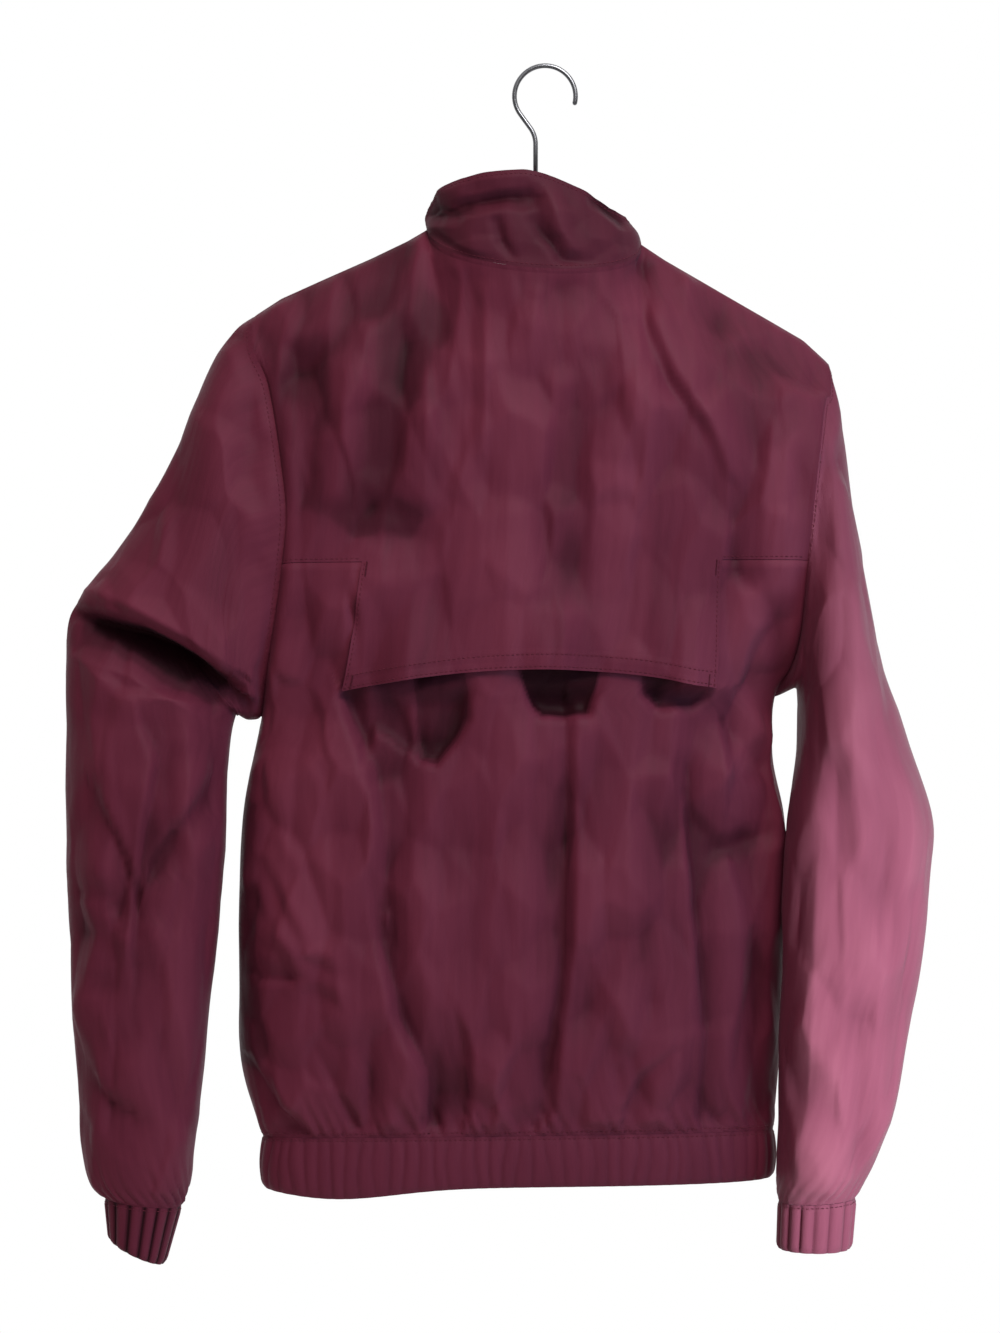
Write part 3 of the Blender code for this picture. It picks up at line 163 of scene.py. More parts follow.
# Creases: how soft each is on its left and its right as it runs down, and its line of (x, z, depth)
BACK_CREASES = [
    (4, 17, [(143, -452, -4), (129, -479, -7), (119, -505, -7), (112, -561, -6), (111, -599, -4)]),
    (4, 15, [(121, -574, -3), (117, -609, -6), (111, -637, -8), (101, -677, -10), (82, -717, -9),
             (81, -756, -6)]),
    (14, 4, [(-14, -460, -5), (-15, -518, -8), (-14, -571, -10), (-13, -624, -11), (-9, -663, -10),
             (-2, -704, -8), (4, -746, -5)]),
    (8, 3, [(-7, -687, -2), (-5, -715, -6), (-3, -743, -5)]),
    (7, 7, [(-101, -500, -3), (-94, -532, -5), (-93, -561, -3)]),
    (3, 14, [(-101, -518, -2), (-103, -540, -6), (-106, -597, -8), (-111, -651, -8), (-114, -693, -7),
             (-110, -749, -5)]),
    (3, 8, [(164, -698, -1), (148, -729, -5), (134, -756, -5)]),
    (3, 7, [(123, -693, -1), (124, -725, -5), (125, -753, -5)]),
    (4, 4, [(108, -733, -1), (103, -744, -3), (98, -753, -3)]),
    (4, 4, [(75, -708, -1), (76, -736, -3), (77, -757, -3)]),
    (9, 3, [(66, -669, -1), (59, -690, -6), (56, -704, -7), (57, -746, -5)]),
    (4, 4, [(-46, -697, -1), (-49, -715, -4), (-51, -730, -2)]),
    (3, 8, [(-90, -701, -2), (-69, -719, -5), (-57, -743, -5)]),
    (5, 5, [(-74, -648, -1), (-74, -666, -4), (-74, -685, -1)]),
    (11, 4, [(200, -572, -2), (184, -604, -5), (172, -626, -3)]),
    (12, 12, [(206, -581, 2), (187, -616, 4), (170, -645, 3)]),
    (3, 8, [(203, -651, -3), (184, -651, -5), (165, -649, -1)]),
    (10, 4, [(212, -711, -3), (191, -739, -7), (172, -761, -5)]),
    (2.5, 3, [(139, -378, -1), (137, -390, -5), (135, -403, -1)]),
    (5, 5, [(173, -637, -1), (159, -642, -3), (144, -649, -1)]),
    (5, 5, [(163, -661, -1), (151, -666, -3), (139, -674, -1)]),
    (7, 8, [(-119, -460, -4), (-136, -479, -5), (-156, -500, -4)]),
    (10, 10, [(-108, -500, 2), (-129, -507, 4), (-148, -518, 3)]),
    (6, 6, [(-121, -562, -2), (-140, -554, -4), (-156, -550, -4)]),
    (14, 12, [(-145, -546, -3), (-152, -595, -5), (-154, -666, -6), (-148, -736, -5)]),
    (26, 26, [(74, -505, -2), (57, -560, -4), (37, -613, -2)]),
    (14, 14, [(-56, -619, -1), (-41, -648, -4), (-27, -677, -3)]),
    (18, 18, [(82, -518, 2), (85, -595, 4), (85, -666, 2)]),
    (16, 16, [(18, -483, 2), (20, -595, 4), (22, -722, 3)]),
    (16, 16, [(-59, -476, 2), (-59, -574, 4), (-59, -673, 2)]),
    (12, 12, [(-135, -574, 2), (-134, -651, 3), (-131, -736, 2)]),
    (5, 8, [(43, -166, 2), (42, -222, 5), (44, -279, 2)]),
    (9, 9, [(141, -222, 2), (144, -258, 4), (148, -307, 3)]),
    (12, 12, [(84, -222, 3), (84, -272, 6), (84, -317, 3)]),
    (14, 14, [(138, -366, 3), (117, -370, 4), (96, -364, 3)]),
    (8, 8, [(4, -156, 2), (8, -184, 4), (11, -212, 2)]),
    (9, 9, [(-11, -163, -3), (-11, -191, -5), (-12, -215, -5)]),
    (14, 12, [(-67, -173, 3), (-65, -210, 6), (-62, -258, 5), (-49, -293, 4), (-56, -335, 2)]),
    (4, 11, [(-74, -173, 2), (-90, -221, 6), (-114, -255, 6), (-131, -293, 3)]),
    (6, 5, [(-75, -194, -2), (-87, -229, -5), (-110, -266, -2)]),
    (12, 12, [(-170, -275, 3), (-163, -324, 5), (-156, -374, 3)]),
    (7, 7, [(-164, -405, -3), (-170, -426, -5), (-177, -443, -3)]),
    (26, 26, [(25, -166, 3), (26, -293, 6), (27, -419, 6)]),
]
BACK_PATCHES = [
    (20, 17, [(150, -206, -2), (120, -192, -2), (84, -186, -2), (40, -176, -2)]),
    (14, 12, [(-112, -178, -3), (-136, -190, -5), (-160, -212, -4)]),
    (10, 10, [(-146, -215, -3), (-150, -300, -5), (-146, -360, -3)]),
    (16, 16, [(104, -364, -3), (104, -420, -3)]),
    (16, 16, [(186, -520, 3), (184, -563, 6), (182, -600, 3)]),
    (18, 18, [(40, -340, 2), (34, -380, 6), (30, -420, 4)]),
]
# Flat facets that the cloth falls back into: how deep, how much painted shade (below 0) or painted light (above
# 0) they get, and their outline of (x, z)
BACK_FACETS = [
    (-4, 0.45, [(184, -204), (162, -209), (161, -248), (166, -308), (175, -313), (181, -274), (188, -239)]),
    (-3, 0.30, [(84, -183), (69, -196), (45, -248), (54, -282), (67, -300), (75, -256), (84, -226),
                (97, -239), (101, -291), (117, -300), (130, -291), (134, -248), (130, -209), (106, -192)]),
    (-3, -0.10, [(125, -313), (75, -321), (80, -343), (110, -349), (134, -338)]),
    (-3, -0.22, [(-28, -209), (-45, -209), (-50, -239), (-28, -291), (-26, -386), (-15, -390), (2, -386),
                 (9, -308), (-11, -256)]),
    (0, -0.72, [(209, -189), (209, -167), (176, -145), (144, -131), (104, -118), (91, -127), (81, -156),
                (64, -189), (63, -239), (68, -275), (78, -311), (91, -334), (133, -340), (176, -320),
                (188, -289), (199, -268)]),
    (0, -0.45, [(-3, -310), (-20, -311), (-19, -354), (-15, -390), (-22, -419), (18, -420), (15, -383),
                (4, -354), (1, -318)]),
    (0, 1.1, [(-38, -289), (-68, -289), (-74, -354), (-68, -419), (-40, -419), (-37, -354)]),
    (0, 1.3, [(-156, -279), (-176, -268), (-181, -354), (-176, -376), (-156, -383), (-152, -340)]),
    (0, 1.8, [(-132, -376), (-153, -372), (-162, -412), (-158, -455), (-155, -505), (-138, -505),
              (-133, -459), (-127, -419)]),
    (0, -1.25, [(227, -517), (202, -527), (201, -570), (199, -599), (204, -642), (197, -700), (205, -717),
                (228, -714)]),
    (0, -0.55, [(-66, -520), (-83, -487), (-94, -498), (-91, -570), (-79, -585), (-76, -642), (-60, -642),
                (-61, -585)]),
    (0, 0.9, [(204, -419), (176, -409), (166, -459), (149, -471), (148, -527), (145, -585), (148, -635),
              (168, -635), (184, -599), (198, -577)]),
]
# Hollows under the storm flap: how deep, how much painted shadow of the flap, and their outline of (x, z)
FLAP_FACETS = [
    (-6, -0.45, [(146, -440), (92, -430), (88, -497), (106, -484), (121, -474), (129, -500), (131, -490),
                 (140, -470)]),
    (-9, -1.45, [(92, -430), (55, -426), (55, -467), (66, -485), (77, -500), (88, -496), (91, -475)]),
    (-10, -2.1, [(23, -415), (-38, -415), (-36, -440), (-30, -464), (3, -465), (13, -452), (19, -440)]),
    (-9, -1.5, [(-64, -420), (-121, -425), (-119, -447), (-105, -460), (-81, -460), (-70, -452)]),
]
SLEEVE_LEFT_CREASES = [
    (16, 3.5, [(337, -391, -14), (312, -399, -26), (286, -407, -30), (264, -419, -30), (246, -430, -27),
               (220, -447, -14)]),
    (5, 16, [(330, -376, 6), (290, -390, 9), (252, -410, 9), (222, -432, 5)]),
    (10, 4, [(333, -424, 2), (300, -453, 5), (263, -455, 5), (230, -461, 2)]),
    (3, 12, [(285, -469, -4), (272, -496, -7), (281, -544, -8), (287, -583, -7), (291, -644, -3)]),
    (3, 10, [(237, -516, -3), (255, -541, -7), (276, -571, -6)]),
    (10, 3, [(322, -516, -3), (305, -552, -7), (289, -592, -6)]),
    (3, 9, [(333, -592, -3), (311, -596, -6), (296, -614, -5)]),
    (6, 6, [(327, -655, -3), (311, -657, -4), (297, -655, -1)]),
    (9, 3, [(330, -712, -3), (311, -740, -6), (293, -747, -4)]),
    (6, 6, [(226, -478, -2), (234, -561, -3), (246, -688, -2)]),
    (12, 12, [(255, -486, 2), (252, -561, 4), (262, -638, 3), (269, -709, 2)]),
    (10, 10, [(310, -483, 2), (312, -568, 3), (307, -674, 2)]),
]
SLEEVE_RIGHT_CREASES = [
    (14, 12, [(-218, -329, 2), (-215, -419, 5), (-213, -499, 4)]),
    (10, 12, [(-192, -534, 2), (-188, -616, 5), (-186, -699, 5), (-180, -763, 3)]),
    (8, 8, [(-254, -510, 2), (-254, -545, 4), (-252, -579, 2)]),
    (7, 7, [(-202, -242, 2), (-202, -294, 3), (-204, -343, 2)]),
    (9, 8, [(-231, -458, -2), (-232, -496, -5), (-231, -531, -2)]),
    (8, 8, [(-235, -548, -2), (-236, -579, -5), (-235, -604, -2)]),
    (8, 8, [(-217, -670, -2), (-218, -725, -5), (-217, -774, -4)]),
    (7, 7, [(-202, -496, -2), (-201, -565, -4), (-204, -635, -2)]),
]
COLLAR_CREASES = [
    (5, 8, [(92, -105, -6), (80, -107, -10), (64, -110, -5)]),
    (5, 5, [(-38, -99, -5), (-48, -104, -9), (-56, -111, -7)]),
    (6, 3, [(62, -104, -3), (45, -101, -6), (28, -99, -6), (12, -98, -3)]),
    (6, 8, [(74, -93, 2), (47, -87, 4), (13, -85, 3)]),
    (14, 12, [(51, -112, 2), (51, -130, 4), (50, -143, 2)]),
    (3, 3, [(35, -117, -3), (31, -131, -4), (24, -141, -2)]),
    (5, 6, [(3, -90, 2), (-4, -104, 5), (-11, -124, 5), (-25, -141, 2)]),
    (4, 4, [(8, -117, -2), (-4, -131, -5), (-13, -144, -4), (-31, -146, -2)]),
    (3, 3, [(80, -124, -2), (70, -132, -4), (58, -140, -3)]),
]
FRONT_CREASES = [
    (12, 9, [(152, -226, -3), (150, -270, -7), (142, -334, -5)]),
    (14, 11, [(86, -196, -3), (98, -290, -7), (112, -380, -7), (120, -424, -4)]),
    (11, 13, [(122, -492, -3), (108, -580, -7), (94, -660, -9), (84, -742, -8)]),
    (11, 9, [(172, -552, -3), (158, -640, -7), (140, -738, -7)]),
    (6, 5, [(52, -640, -2), (48, -700, -5), (44, -748, -5)]),
    (16, 16, [(66, -240, 3), (74, -360, 5), (70, -470, 3)]),
    (16, 18, [(60, -520, 3), (64, -640, 5), (66, -730, 3)]),
    (13, 13, [(-68, -216, -3), (-82, -320, -7), (-96, -436, -4)]),
    (11, 11, [(-142, -246, -4), (-136, -300, -7), (-131, -356, -4)]),
    (12, 10, [(-82, -502, -3), (-74, -600, -7), (-64, -742, -9)]),
    (10, 9, [(-138, -532, -3), (-128, -640, -6), (-116, -742, -7)]),
    (5, 5, [(-30, -670, -2), (-34, -716, -5), (-36, -750, -4)]),
    (16, 16, [(-50, -230, 3), (-52, -350, 4), (-60, -470, 3)]),
    (15, 15, [(-104, -560, 3), (-98, -660, 4), (-92, -730, 3)]),
]
SLEEVE_LEFT_FRONT_CREASES = [
    (15, 12, [(330, -414, -8), (292, -436, -14), (252, -458, -6)]),
    (12, 12, [(300, -392, 4), (262, -414, 6), (240, -428, 4)]),
    (9, 9, [(332, -514, -3), (296, -560, -6), (260, -604, -4)]),
    (10, 10, [(302, -632, -3), (296, -700, -6), (289, -768, -4)]),
    (7, 7, [(330, -690, -2), (310, -706, -4), (288, -712, -2)]),
]
SLEEVE_RIGHT_FRONT_CREASES = [
    (11, 10, [(-204, -410, -3), (-216, -480, -6), (-232, -566, -4)]),
    (11, 11, [(-238, -590, -3), (-220, -660, -6), (-195, -730, -4)]),
    (9, 9, [(-190, -520, -2), (-186, -600, -4), (-182, -690, -2)]),
]

# Working sizes of the cloth and its thread
SEAM_REACH = 2.0  # how far a seam's groove reaches into the cloth
GROOVE, NECK_GROOVE, CUFF_GROOVE = 0.3, 0.15, 0.45  # how deep the seams lie
FLAP_HEM = 11.0  # how far the storm flap's hem is turned up
COLLAR_SWELL, COLLAR_CALM = 2.5, 18  # how far the collar stands out, and the columns at its ends that lie plain
COLLAR_DEEPEST = 5.5  # how deep the collar's folds may go
LIE_FLAT = 14  # how far from a seam the crumple is back at its full height
EDGE_STITCH, CASING_STITCH, HEM_STITCH = 2.2, 2.4, 3.0  # how far inside an edge each row of stitching runs
CUFF_STITCH, ZIP_STITCH = 4.0, 6.0
THREAD_SIDES = 5
# The rings of one stitch: how far along it they are, and their girth and lift as shares of the thread's
THREAD_RINGS = [(-0.5, 0.35, -0.30), (-0.30, 1.0, 0.10), (0.30, 1.0, 0.10), (0.5, 0.35, -0.30)]
# A zip tooth's block, how far it lies from the chain's middle, and each step of its neck and head:
# how far it runs on, how much taller it gets, and where
TOOTH_BLOCK, TOOTH_OUT = (1.7, 2.0, 1.1), 2.0
TOOTH_STEPS = [(0.5, 0.62, 0.65), (0.7, 1.0, -0.05), (0.75, 1.6, -0.8), (0.35, 0.6, -1.15)]
WEAVE_PITCH = 0.00062  # in metres, like every size in a finish

# The cloth's colours: a painted shadow colour for the bottom of creases, and dark, middle and light tones that
# random blotches, painted shade in creases and painted light on ridges pick among
PAINTED_SHADOW, DEEP = (0.0150, 0.0006, 0.0025), (0.067, 0.0072, 0.0167)
MID, PALE = (0.125, 0.0155, 0.0330), (0.174, 0.0253, 0.0482)
# Where each step of painted shadow starts and ends, on the depth of creases, and how strong it is
SHADE_STEPS = ((0.45, 0.92, 0.34), (1.15, 1.7, 0.55))
# The body's painted shade is the depth of its creases divided by BODY_SHADE
BODY_SHADE = 7.5  # how many millimetres deep a crease of the body is when its shade is 1
DEPTH, SHADE = 0, 1  # the columns of a table of facets


# ---------------------------------------------------------------- points, curves and sections

def named(columns, row):
    return dict(zip(columns, row))


def run_along(points):
    """How far each point lies from the first one, along a line or down each column of a grid."""
    steps = np.linalg.norm(np.diff(points, axis=0), axis=-1)
    return np.concatenate([np.zeros((1, *steps.shape[1:])), np.cumsum(steps, axis=0)])


def resampled(line, count):
    """The line's points spaced evenly along it, as count + 1 points."""
    line = np.asarray(line, float)
    run = run_along(line)
    at = np.linspace(0, run[-1], count + 1)
    return np.stack([np.interp(at, run, values) for values in line.T], axis=1)


def closed_resampled(ring, count):
    return resampled(np.concatenate([ring, ring[:1]]), count)[:-1]


def through(rows, steps):
    """A smooth surface through rows of points, with steps[i] new rows between row i and the next."""
    rows = np.asarray(rows, float)
    gaps = np.linalg.norm(np.diff(rows, axis=0), axis=2).mean(axis=1)
    slopes = np.empty_like(rows)
    chords = np.diff(rows, axis=0) / gaps[:, None, None]
    slopes[0], slopes[-1] = chords[0], chords[-1]
    for i in range(1, len(rows) - 1):
        before, after = gaps[i - 1], gaps[i]
        slopes[i] = (chords[i - 1] * after + chords[i] * before) / (before + after)
    made = []
    for i, count in enumerate(steps):
        for t in np.arange(count) / count:
            made.append((2 * t**3 - 3 * t**2 + 1) * rows[i] + (t**3 - 2 * t**2 + t) * gaps[i] * slopes[i]
                        + (3 * t**2 - 2 * t**3) * rows[i + 1] + (t**3 - t**2) * gaps[i] * slopes[i + 1])
    return np.array(made + [rows[-1]])


def smooth(low, high, value):
    t = np.clip((value - low) / (high - low), 0, 1)
    return t * t * (3 - 2 * t)


def calm_ends(count, reach):
    """0 at both ends of a row of points, rising to 1 within reach of them."""
    at = np.arange(count)
    return smooth(0, reach, at) * smooth(0, reach, at[::-1])


def unit(vectors):
    return vectors / np.maximum(np.linalg.norm(vectors, axis=-1, keepdims=True), 1e-12)


def half_section(left_end, right_end, depth, square, rise, side):
    """Half of the body's section between its two ends (x, y, z), behind (side 1) or before (side -1)."""
    angle = np.linspace(0, math.pi, 161)
    across = np.sign(np.cos(angle)) * np.abs(np.cos(angle)) ** (2 / square)
    bulge = np.abs(np.sin(angle)) ** (2 / square)
    left, right = (1 + across) / 2, (1 - across) / 2
    x, edge, z = (a * left + b * right for a, b in zip(left_end, right_end))
    return np.stack([x, side * (edge + (depth - edge) * bulge), z + rise * bulge], axis=1)


def facing(level, side):
    """How deep a level's half is, how square, and how far its middle rises."""
    way = "back" if side > 0 else "front"
    return level[way], level["square"], level["rise_" + way]


def body_section(row, side):
    level = named(LEVEL, row)
    ends = [(level["x_" + end], 0, level["z_" + end]) for end in ("left", "right")]
    return half_section(*ends, *facing(level, side), side)


def armhole_section(index, side):
    hole, level = named(ARMHOLE, ARMHOLES[index]), named(UPPER, UPPER_LEVELS[index])
    scoop = FRONT_SCOOP * math.sin(math.pi * index / len(ARMHOLES)) if side < 0 else 0
    flatter = FRONT_FLATTER if side < 0 else 1
    return half_section((hole["x_left"] - scoop, hole["back_left"] * flatter, hole["z_left"]),
                        (hole["x_right"] + scoop, hole["back_right"] * flatter, hole["z_right"]),
                        *facing(level, side), side)


def sections(side):
    return ([body_section(row, side) for row in BODY_LEVELS]
            + [armhole_section(index, side) for index in range(len(ARMHOLES))])


def neck_point(angle):
    """A point of the neck seam. Angle 0 is the wearer's left, 90 the middle of the back, -90 the zip."""
    left, right = SHOULDER_LEFT[-1], SHOULDER_RIGHT[-1]
    across, bulge = math.cos(math.radians(angle)), math.sin(math.radians(angle))
    depth, drop = (NECK_BACK, NECK_DROP_BACK) if bulge > 0 else (NECK_FRONT, NECK_DROP_FRONT)
    x, z = ((a + b) / 2 + (a - b) / 2 * across for a, b in zip(left, right))
    return (x, depth * bulge, z - drop * abs(bulge) ** (0.85 if bulge > 0 else 2))


def shoulder(points, count):
    return resampled([(x, 0, z) for x, z in points], count)


def neck(start, end, count):
    return resampled([neck_point(a) for a in np.linspace(start, end, 60)], count)


def join(*lines):
    """Lines laid end to end, each starting where the one before it stops."""
    return np.concatenate([lines[0]] + [line[1:] for line in lines[1:]])


def rolled(top, side):
    """The two rows under the top edge, where the cloth rolls over the hanger's arm."""
    made = []
    away = np.abs(top[:, 1])
    neck_share = smooth(0, 22, away)
    for roll in ROLL:
        out = np.maximum(roll["out"] - away, roll["neck_out"])
        down = roll["down"] * (1 - neck_share) + roll["neck_down"] * neck_share
        made.append(top + np.stack([0 * out, side * out, -down], axis=1))
    return made


def cut_at(line, x, side_x):
    """The start of a line, as far as it reaches x."""
    keep = int(np.argmax((line[:, 0] - x) * side_x <= 0))
    before, after = line[keep - 1], line[keep]
    t = (x - before[0]) / (after[0] - before[0])
    return np.concatenate([line[:keep], [before + (after - before) * t]])


# ---------------------------------------------------------------- the surfaces that the pieces are cut from

def back_surface():
    """The whole back from the hem seam to the shoulder and neck seams, before it is cut into pieces."""
    left, middle, right = BACK_COLUMNS
    rows = [resampled(section, left + middle + right) for section in sections(1)]
    top = join(shoulder(SHOULDER_LEFT, left), neck(0, 180, middle), shoulder(SHOULDER_RIGHT, right)[::-1])
    rows += [*rolled(top, 1), top]
    return eased(through(rows, LOWER_STEPS + UPPER_STEPS), 24, 6)


def front_surface(side_x):
    """One front from its side seam or armhole (column 0) to the zip. side_x is 1 on the wearer's left."""
    over, under = FRONT_COLUMNS
    edge = ZIP_X + side_x * ZIP_HALF_GAP
    rows = [resampled(cut_at(section[::side_x], edge, side_x), over + under) for section in sections(-1)]
    points, neck_ends = (SHOULDER_LEFT, (0, -90)) if side_x > 0 else (SHOULDER_RIGHT, (180, 270))
    top = join(shoulder(points, over), resampled(cut_at(neck(*neck_ends, 60), edge, side_x), under))
    rows += [*rolled(top, -1), top]
    return through(rows, LOWER_STEPS + UPPER_STEPS)


def sleeve_ring(section, angle):
    outer = np.array([section["x_outer"], section["y"], section["z_outer"]])
    inner = np.array([section["x_inner"], section["y"], section["z_inner"]])
    middle, reach = (outer + inner) / 2, (outer - inner) / 2
    behind = np.array([0, section["half_depth"], 0])
    return middle + np.cos(angle)[:, None] * reach + np.sin(angle)[:, None] * behind


def sleeve_surface(armhole, table, steps):
    """A sleeve from the armhole down to the cuff seam. Column 0 is the shoulder tip, the back comes first."""
    count = len(armhole)
    even = 2 * math.pi * np.arange(count) / count
    top, foot = armhole[0, 2], armhole[count // 2, 2]
    own = np.arccos(np.clip(2 * (armhole[:, 2] - foot) / (top - foot) - 1, -1, 1))
    own[count // 2 + 1:] = 2 * math.pi - own[count // 2 + 1:]
    rows = [armhole]
    for row, share in zip(table, [0.2, 0.45, 0.75] + [1.0] * len(table)):
        rows.append(sleeve_ring(named(SECTION, row), own * (1 - share) + even * share))
    return through(rows, steps)


def collar_top(angle):
    rad = math.radians(angle)
    depth = COLLAR_TOP_BACK if math.sin(rad) > 0 else COLLAR_TOP_FRONT
    z = np.interp(angle, *np.array(COLLAR_TOPS).T)
    return (COLLAR_TOP_CENTRE + COLLAR_TOP_HALF * math.cos(rad), depth * math.sin(rad), z)


def collar_surface(neck_line):
    """The stand collar, from the neck seam up to its top edge."""
    top = np.array([collar_top(a) for a in np.linspace(-90, 270, 361)])
    left = cut_at(top[90::-1], ZIP_X + ZIP_HALF_GAP, 1)[::-1]
    right = cut_at(top[270:], ZIP_X - ZIP_HALF_GAP, -1)
    side, middle = FRONT_COLUMNS[1], BACK_COLUMNS[1]
    top = join(resampled(left, side), resampled(top[90:271], middle), resampled(right, side))
    for _ in range(3):
        top[1:-1, 2] = (top[:-2, 2] + 2 * top[1:-1, 2] + top[2:, 2]) / 4
    rise = np.linspace(0, 1, COLLAR_ROWS + 1)[:, None, None]
    grid = neck_line[None] * (1 - rise) + top[None] * rise
    calm = calm_ends(len(top), COLLAR_CALM)
    return grid + tube_outward(grid) * COLLAR_SWELL * np.sin(math.pi * rise) * calm[None, :, None]


def eased(grid, rounds, reach):
    """The surface with its sudden turns spread out, more and more away from its edges."""
    down, over = (calm_ends(count, reach) for count in grid.shape[:2])
    share = (down[:, None] * over[None])[1:-1, 1:-1, None]
    for _ in range(rounds):
        around = (grid[:-2, 1:-1] + grid[2:, 1:-1] + grid[1:-1, :-2] + grid[1:-1, 2:]) / 4
        grid[1:-1, 1:-1] += share * (around - grid[1:-1, 1:-1])
    return grid


def band_surface():
    """The hem casing, from one zip edge round the back to the other, in a gathered ring."""
    level = named(LEVEL, BODY_LEVELS[0])
    made = []
    for t in np.linspace(0, 1, CASING_ROWS + 1):
        swell = 2.0 * math.sin(math.pi * t)
        ends = ((level["x_left"] + swell, 0, level["z_left"] * (1 - t) + BAND_LEFT_Z * t),
                (level["x_right"] - swell, 0, level["z_right"] * (1 - t) + BAND_RIGHT_Z * t))
        back = half_section(*ends, level["back"] + swell, level["square"], level["rise_back"] * (1 - t), 1)
        front = half_section(*ends, level["front"] + swell * 0.3, level["square"], 0, -1)
        left = cut_at(front, ZIP_X + ZIP_HALF_GAP, 1)[::-1]
        right = cut_at(front[::-1], ZIP_X - ZIP_HALF_GAP, -1)
        ring = resampled(join(left, back, right), BAND_RIBS * RIB_COLUMNS)
        ring[:, 2] -= BAND_SAG * t * np.exp(-(((ring[:, 0] - 150) / 60) ** 2)) * (ring[:, 1] > 0)
        made.append(ring)
    return np.array(made)


def cuff_surface(sleeve_end, end_row):
    """A gathered elastic casing from the sleeve's last ring down to the cuff's open end."""
    columns = CUFF_RIBS * CUFF_RIB_COLUMNS
    start = closed_resampled(sleeve_end, columns)
    angle = 2 * math.pi * np.arange(240) / 240
    end = closed_resampled(sleeve_ring(named(SECTION, end_row), angle), columns)
    return np.array([start + (end - start) * t for t in np.linspace(0, 1, CASING_ROWS + 1)])


def body_outward(grid, side):
    normals = unit(np.cross(np.gradient(grid, axis=1), np.gradient(grid, axis=0)))
    return normals * np.sign(normals[..., 1].sum()) * side


def tube_outward(grid, wrap=False):
    along = np.roll(grid, -1, axis=1) - np.roll(grid, 1, axis=1) if wrap else np.gradient(grid, axis=1)
    normals = unit(np.cross(along, np.gradient(grid, axis=0)))
    return normals * np.sign(((grid - grid.mean(axis=1, keepdims=True)) * normals).sum())


# ---------------------------------------------------------------- folds, gathers and crumple

def turned(grid, edge):
    """The grid with one of its edges as its first row."""
    if edge in ("first", "last"):
        return (grid if edge == "first" else grid[:, ::-1]).swapaxes(0, 1)
    return grid if edge == "foot" else grid[::-1]


def from_edge(grid, edge):
    """How far each point of a grid lies from one of its edges, along the cloth."""
    away = run_along(turned(grid, edge))
    return {"foot": away, "head": away[::-1], "first": away.T, "last": away.T[:, ::-1]}[edge]


def near_path(x, z, path, reach):
    """Which points lie within reach of the box round a path."""
    (x_low, z_low), (x_high, z_high) = path[:, :2].min(axis=0) - reach, path[:, :2].max(axis=0) + reach
    return (x > x_low) & (x < x_high) & (z > z_low) & (z < z_high)


def from_segment(x, z, a, b):
    """How far points lie from the segment a to b, how far along it, and which lie on the left of its way."""
    run = b[:2] - a[:2]
    t = np.clip(((x - a[0]) * run[0] + (z - a[1]) * run[1]) / (run @ run), 0, 1)
    dx, dz = x - a[0] - t * run[0], z - a[1] - t * run[1]
    return np.hypot(dx, dz), t, run[0] * dz - run[1] * dx > 0


def creased(grid, creases, steep=1.15):
    """How far a table of creases moves each point of the cloth: in where it is below 0, out above."""
    x, z = grid[..., 0], grid[..., 2]
    total = np.zeros(x.shape)
    for left, right, path in creases:
        path = np.array(path, float)
        near = near_path(x, z, path, 3 * max(left, right))
        px, pz = x[near], z[near]
        best, moved = np.full(px.shape, 1e9), np.zeros(px.shape)
        for a, b in zip(path[:-1], path[1:]):
            away, t, on_left = from_segment(px, pz, a, b)
            share = np.clip(1 - away / (2 * np.where(on_left, left, right)), 0, 1) ** steep
            moved = np.where(away < best, (a[2] * (1 - t) + b[2] * t) * share, moved)
            best = np.minimum(best, away)
        total[near] += moved
    return total


def faceted(grid, facets, soft, part):
    """The DEPTH, or the SHADE, which is painted light or shade, that a table of facets gives each point of the
    cloth, with edges that wander.
    """
    x, z = (grid[..., k] + 1.6 * wander(grid, 13.0, 5 + k) for k in (0, 2))
    total = np.zeros(x.shape)
    for facet in facets:
        outline = np.array(facet[2], float)
        near = near_path(x, z, outline, soft)
        px, pz = x[near], z[near]
        inside, away = np.zeros(px.shape, bool), np.full(px.shape, 1e9)
        for a, b in zip(outline, np.roll(outline, -1, axis=0)):
            run = b - a
            away = np.minimum(away, from_segment(px, pz, a, b)[0])
            inside ^= ((a[1] > pz) != (b[1] > pz)) & (px < a[0] + run[0] * (pz - a[1]) / (run[1] or 1e-9))
        total[near] += facet[part] * smooth(-soft, soft, np.where(inside, away, -away))
    return total


def wander(points, size, seed):
    """Smooth noise between about -1 and 1, at points in space, with features about size across."""
    chance = np.random.default_rng(seed)
    arrows = unit(chance.normal(size=(256, 3)))
    order = chance.permutation(256)
    place = points / size
    cell = np.floor(place).astype(int)
    part = place - cell
    ease = part * part * part * (part * (part * 6 - 15) + 10)
    total = np.zeros(points.shape[:-1])
    for corner in np.ndindex(2, 2, 2):
        spot = (cell + corner) & 255
        pick = order[(order[(order[spot[..., 0]] + spot[..., 1]) & 255] + spot[..., 2]) & 255]
        value = (arrows[pick] * (part - corner)).sum(axis=-1)
        shares = [ease[..., k] if corner[k] else 1 - ease[..., k] for k in range(3)]
        total += value * (shares[0] * shares[1] * shares[2])
    return total * 1.6


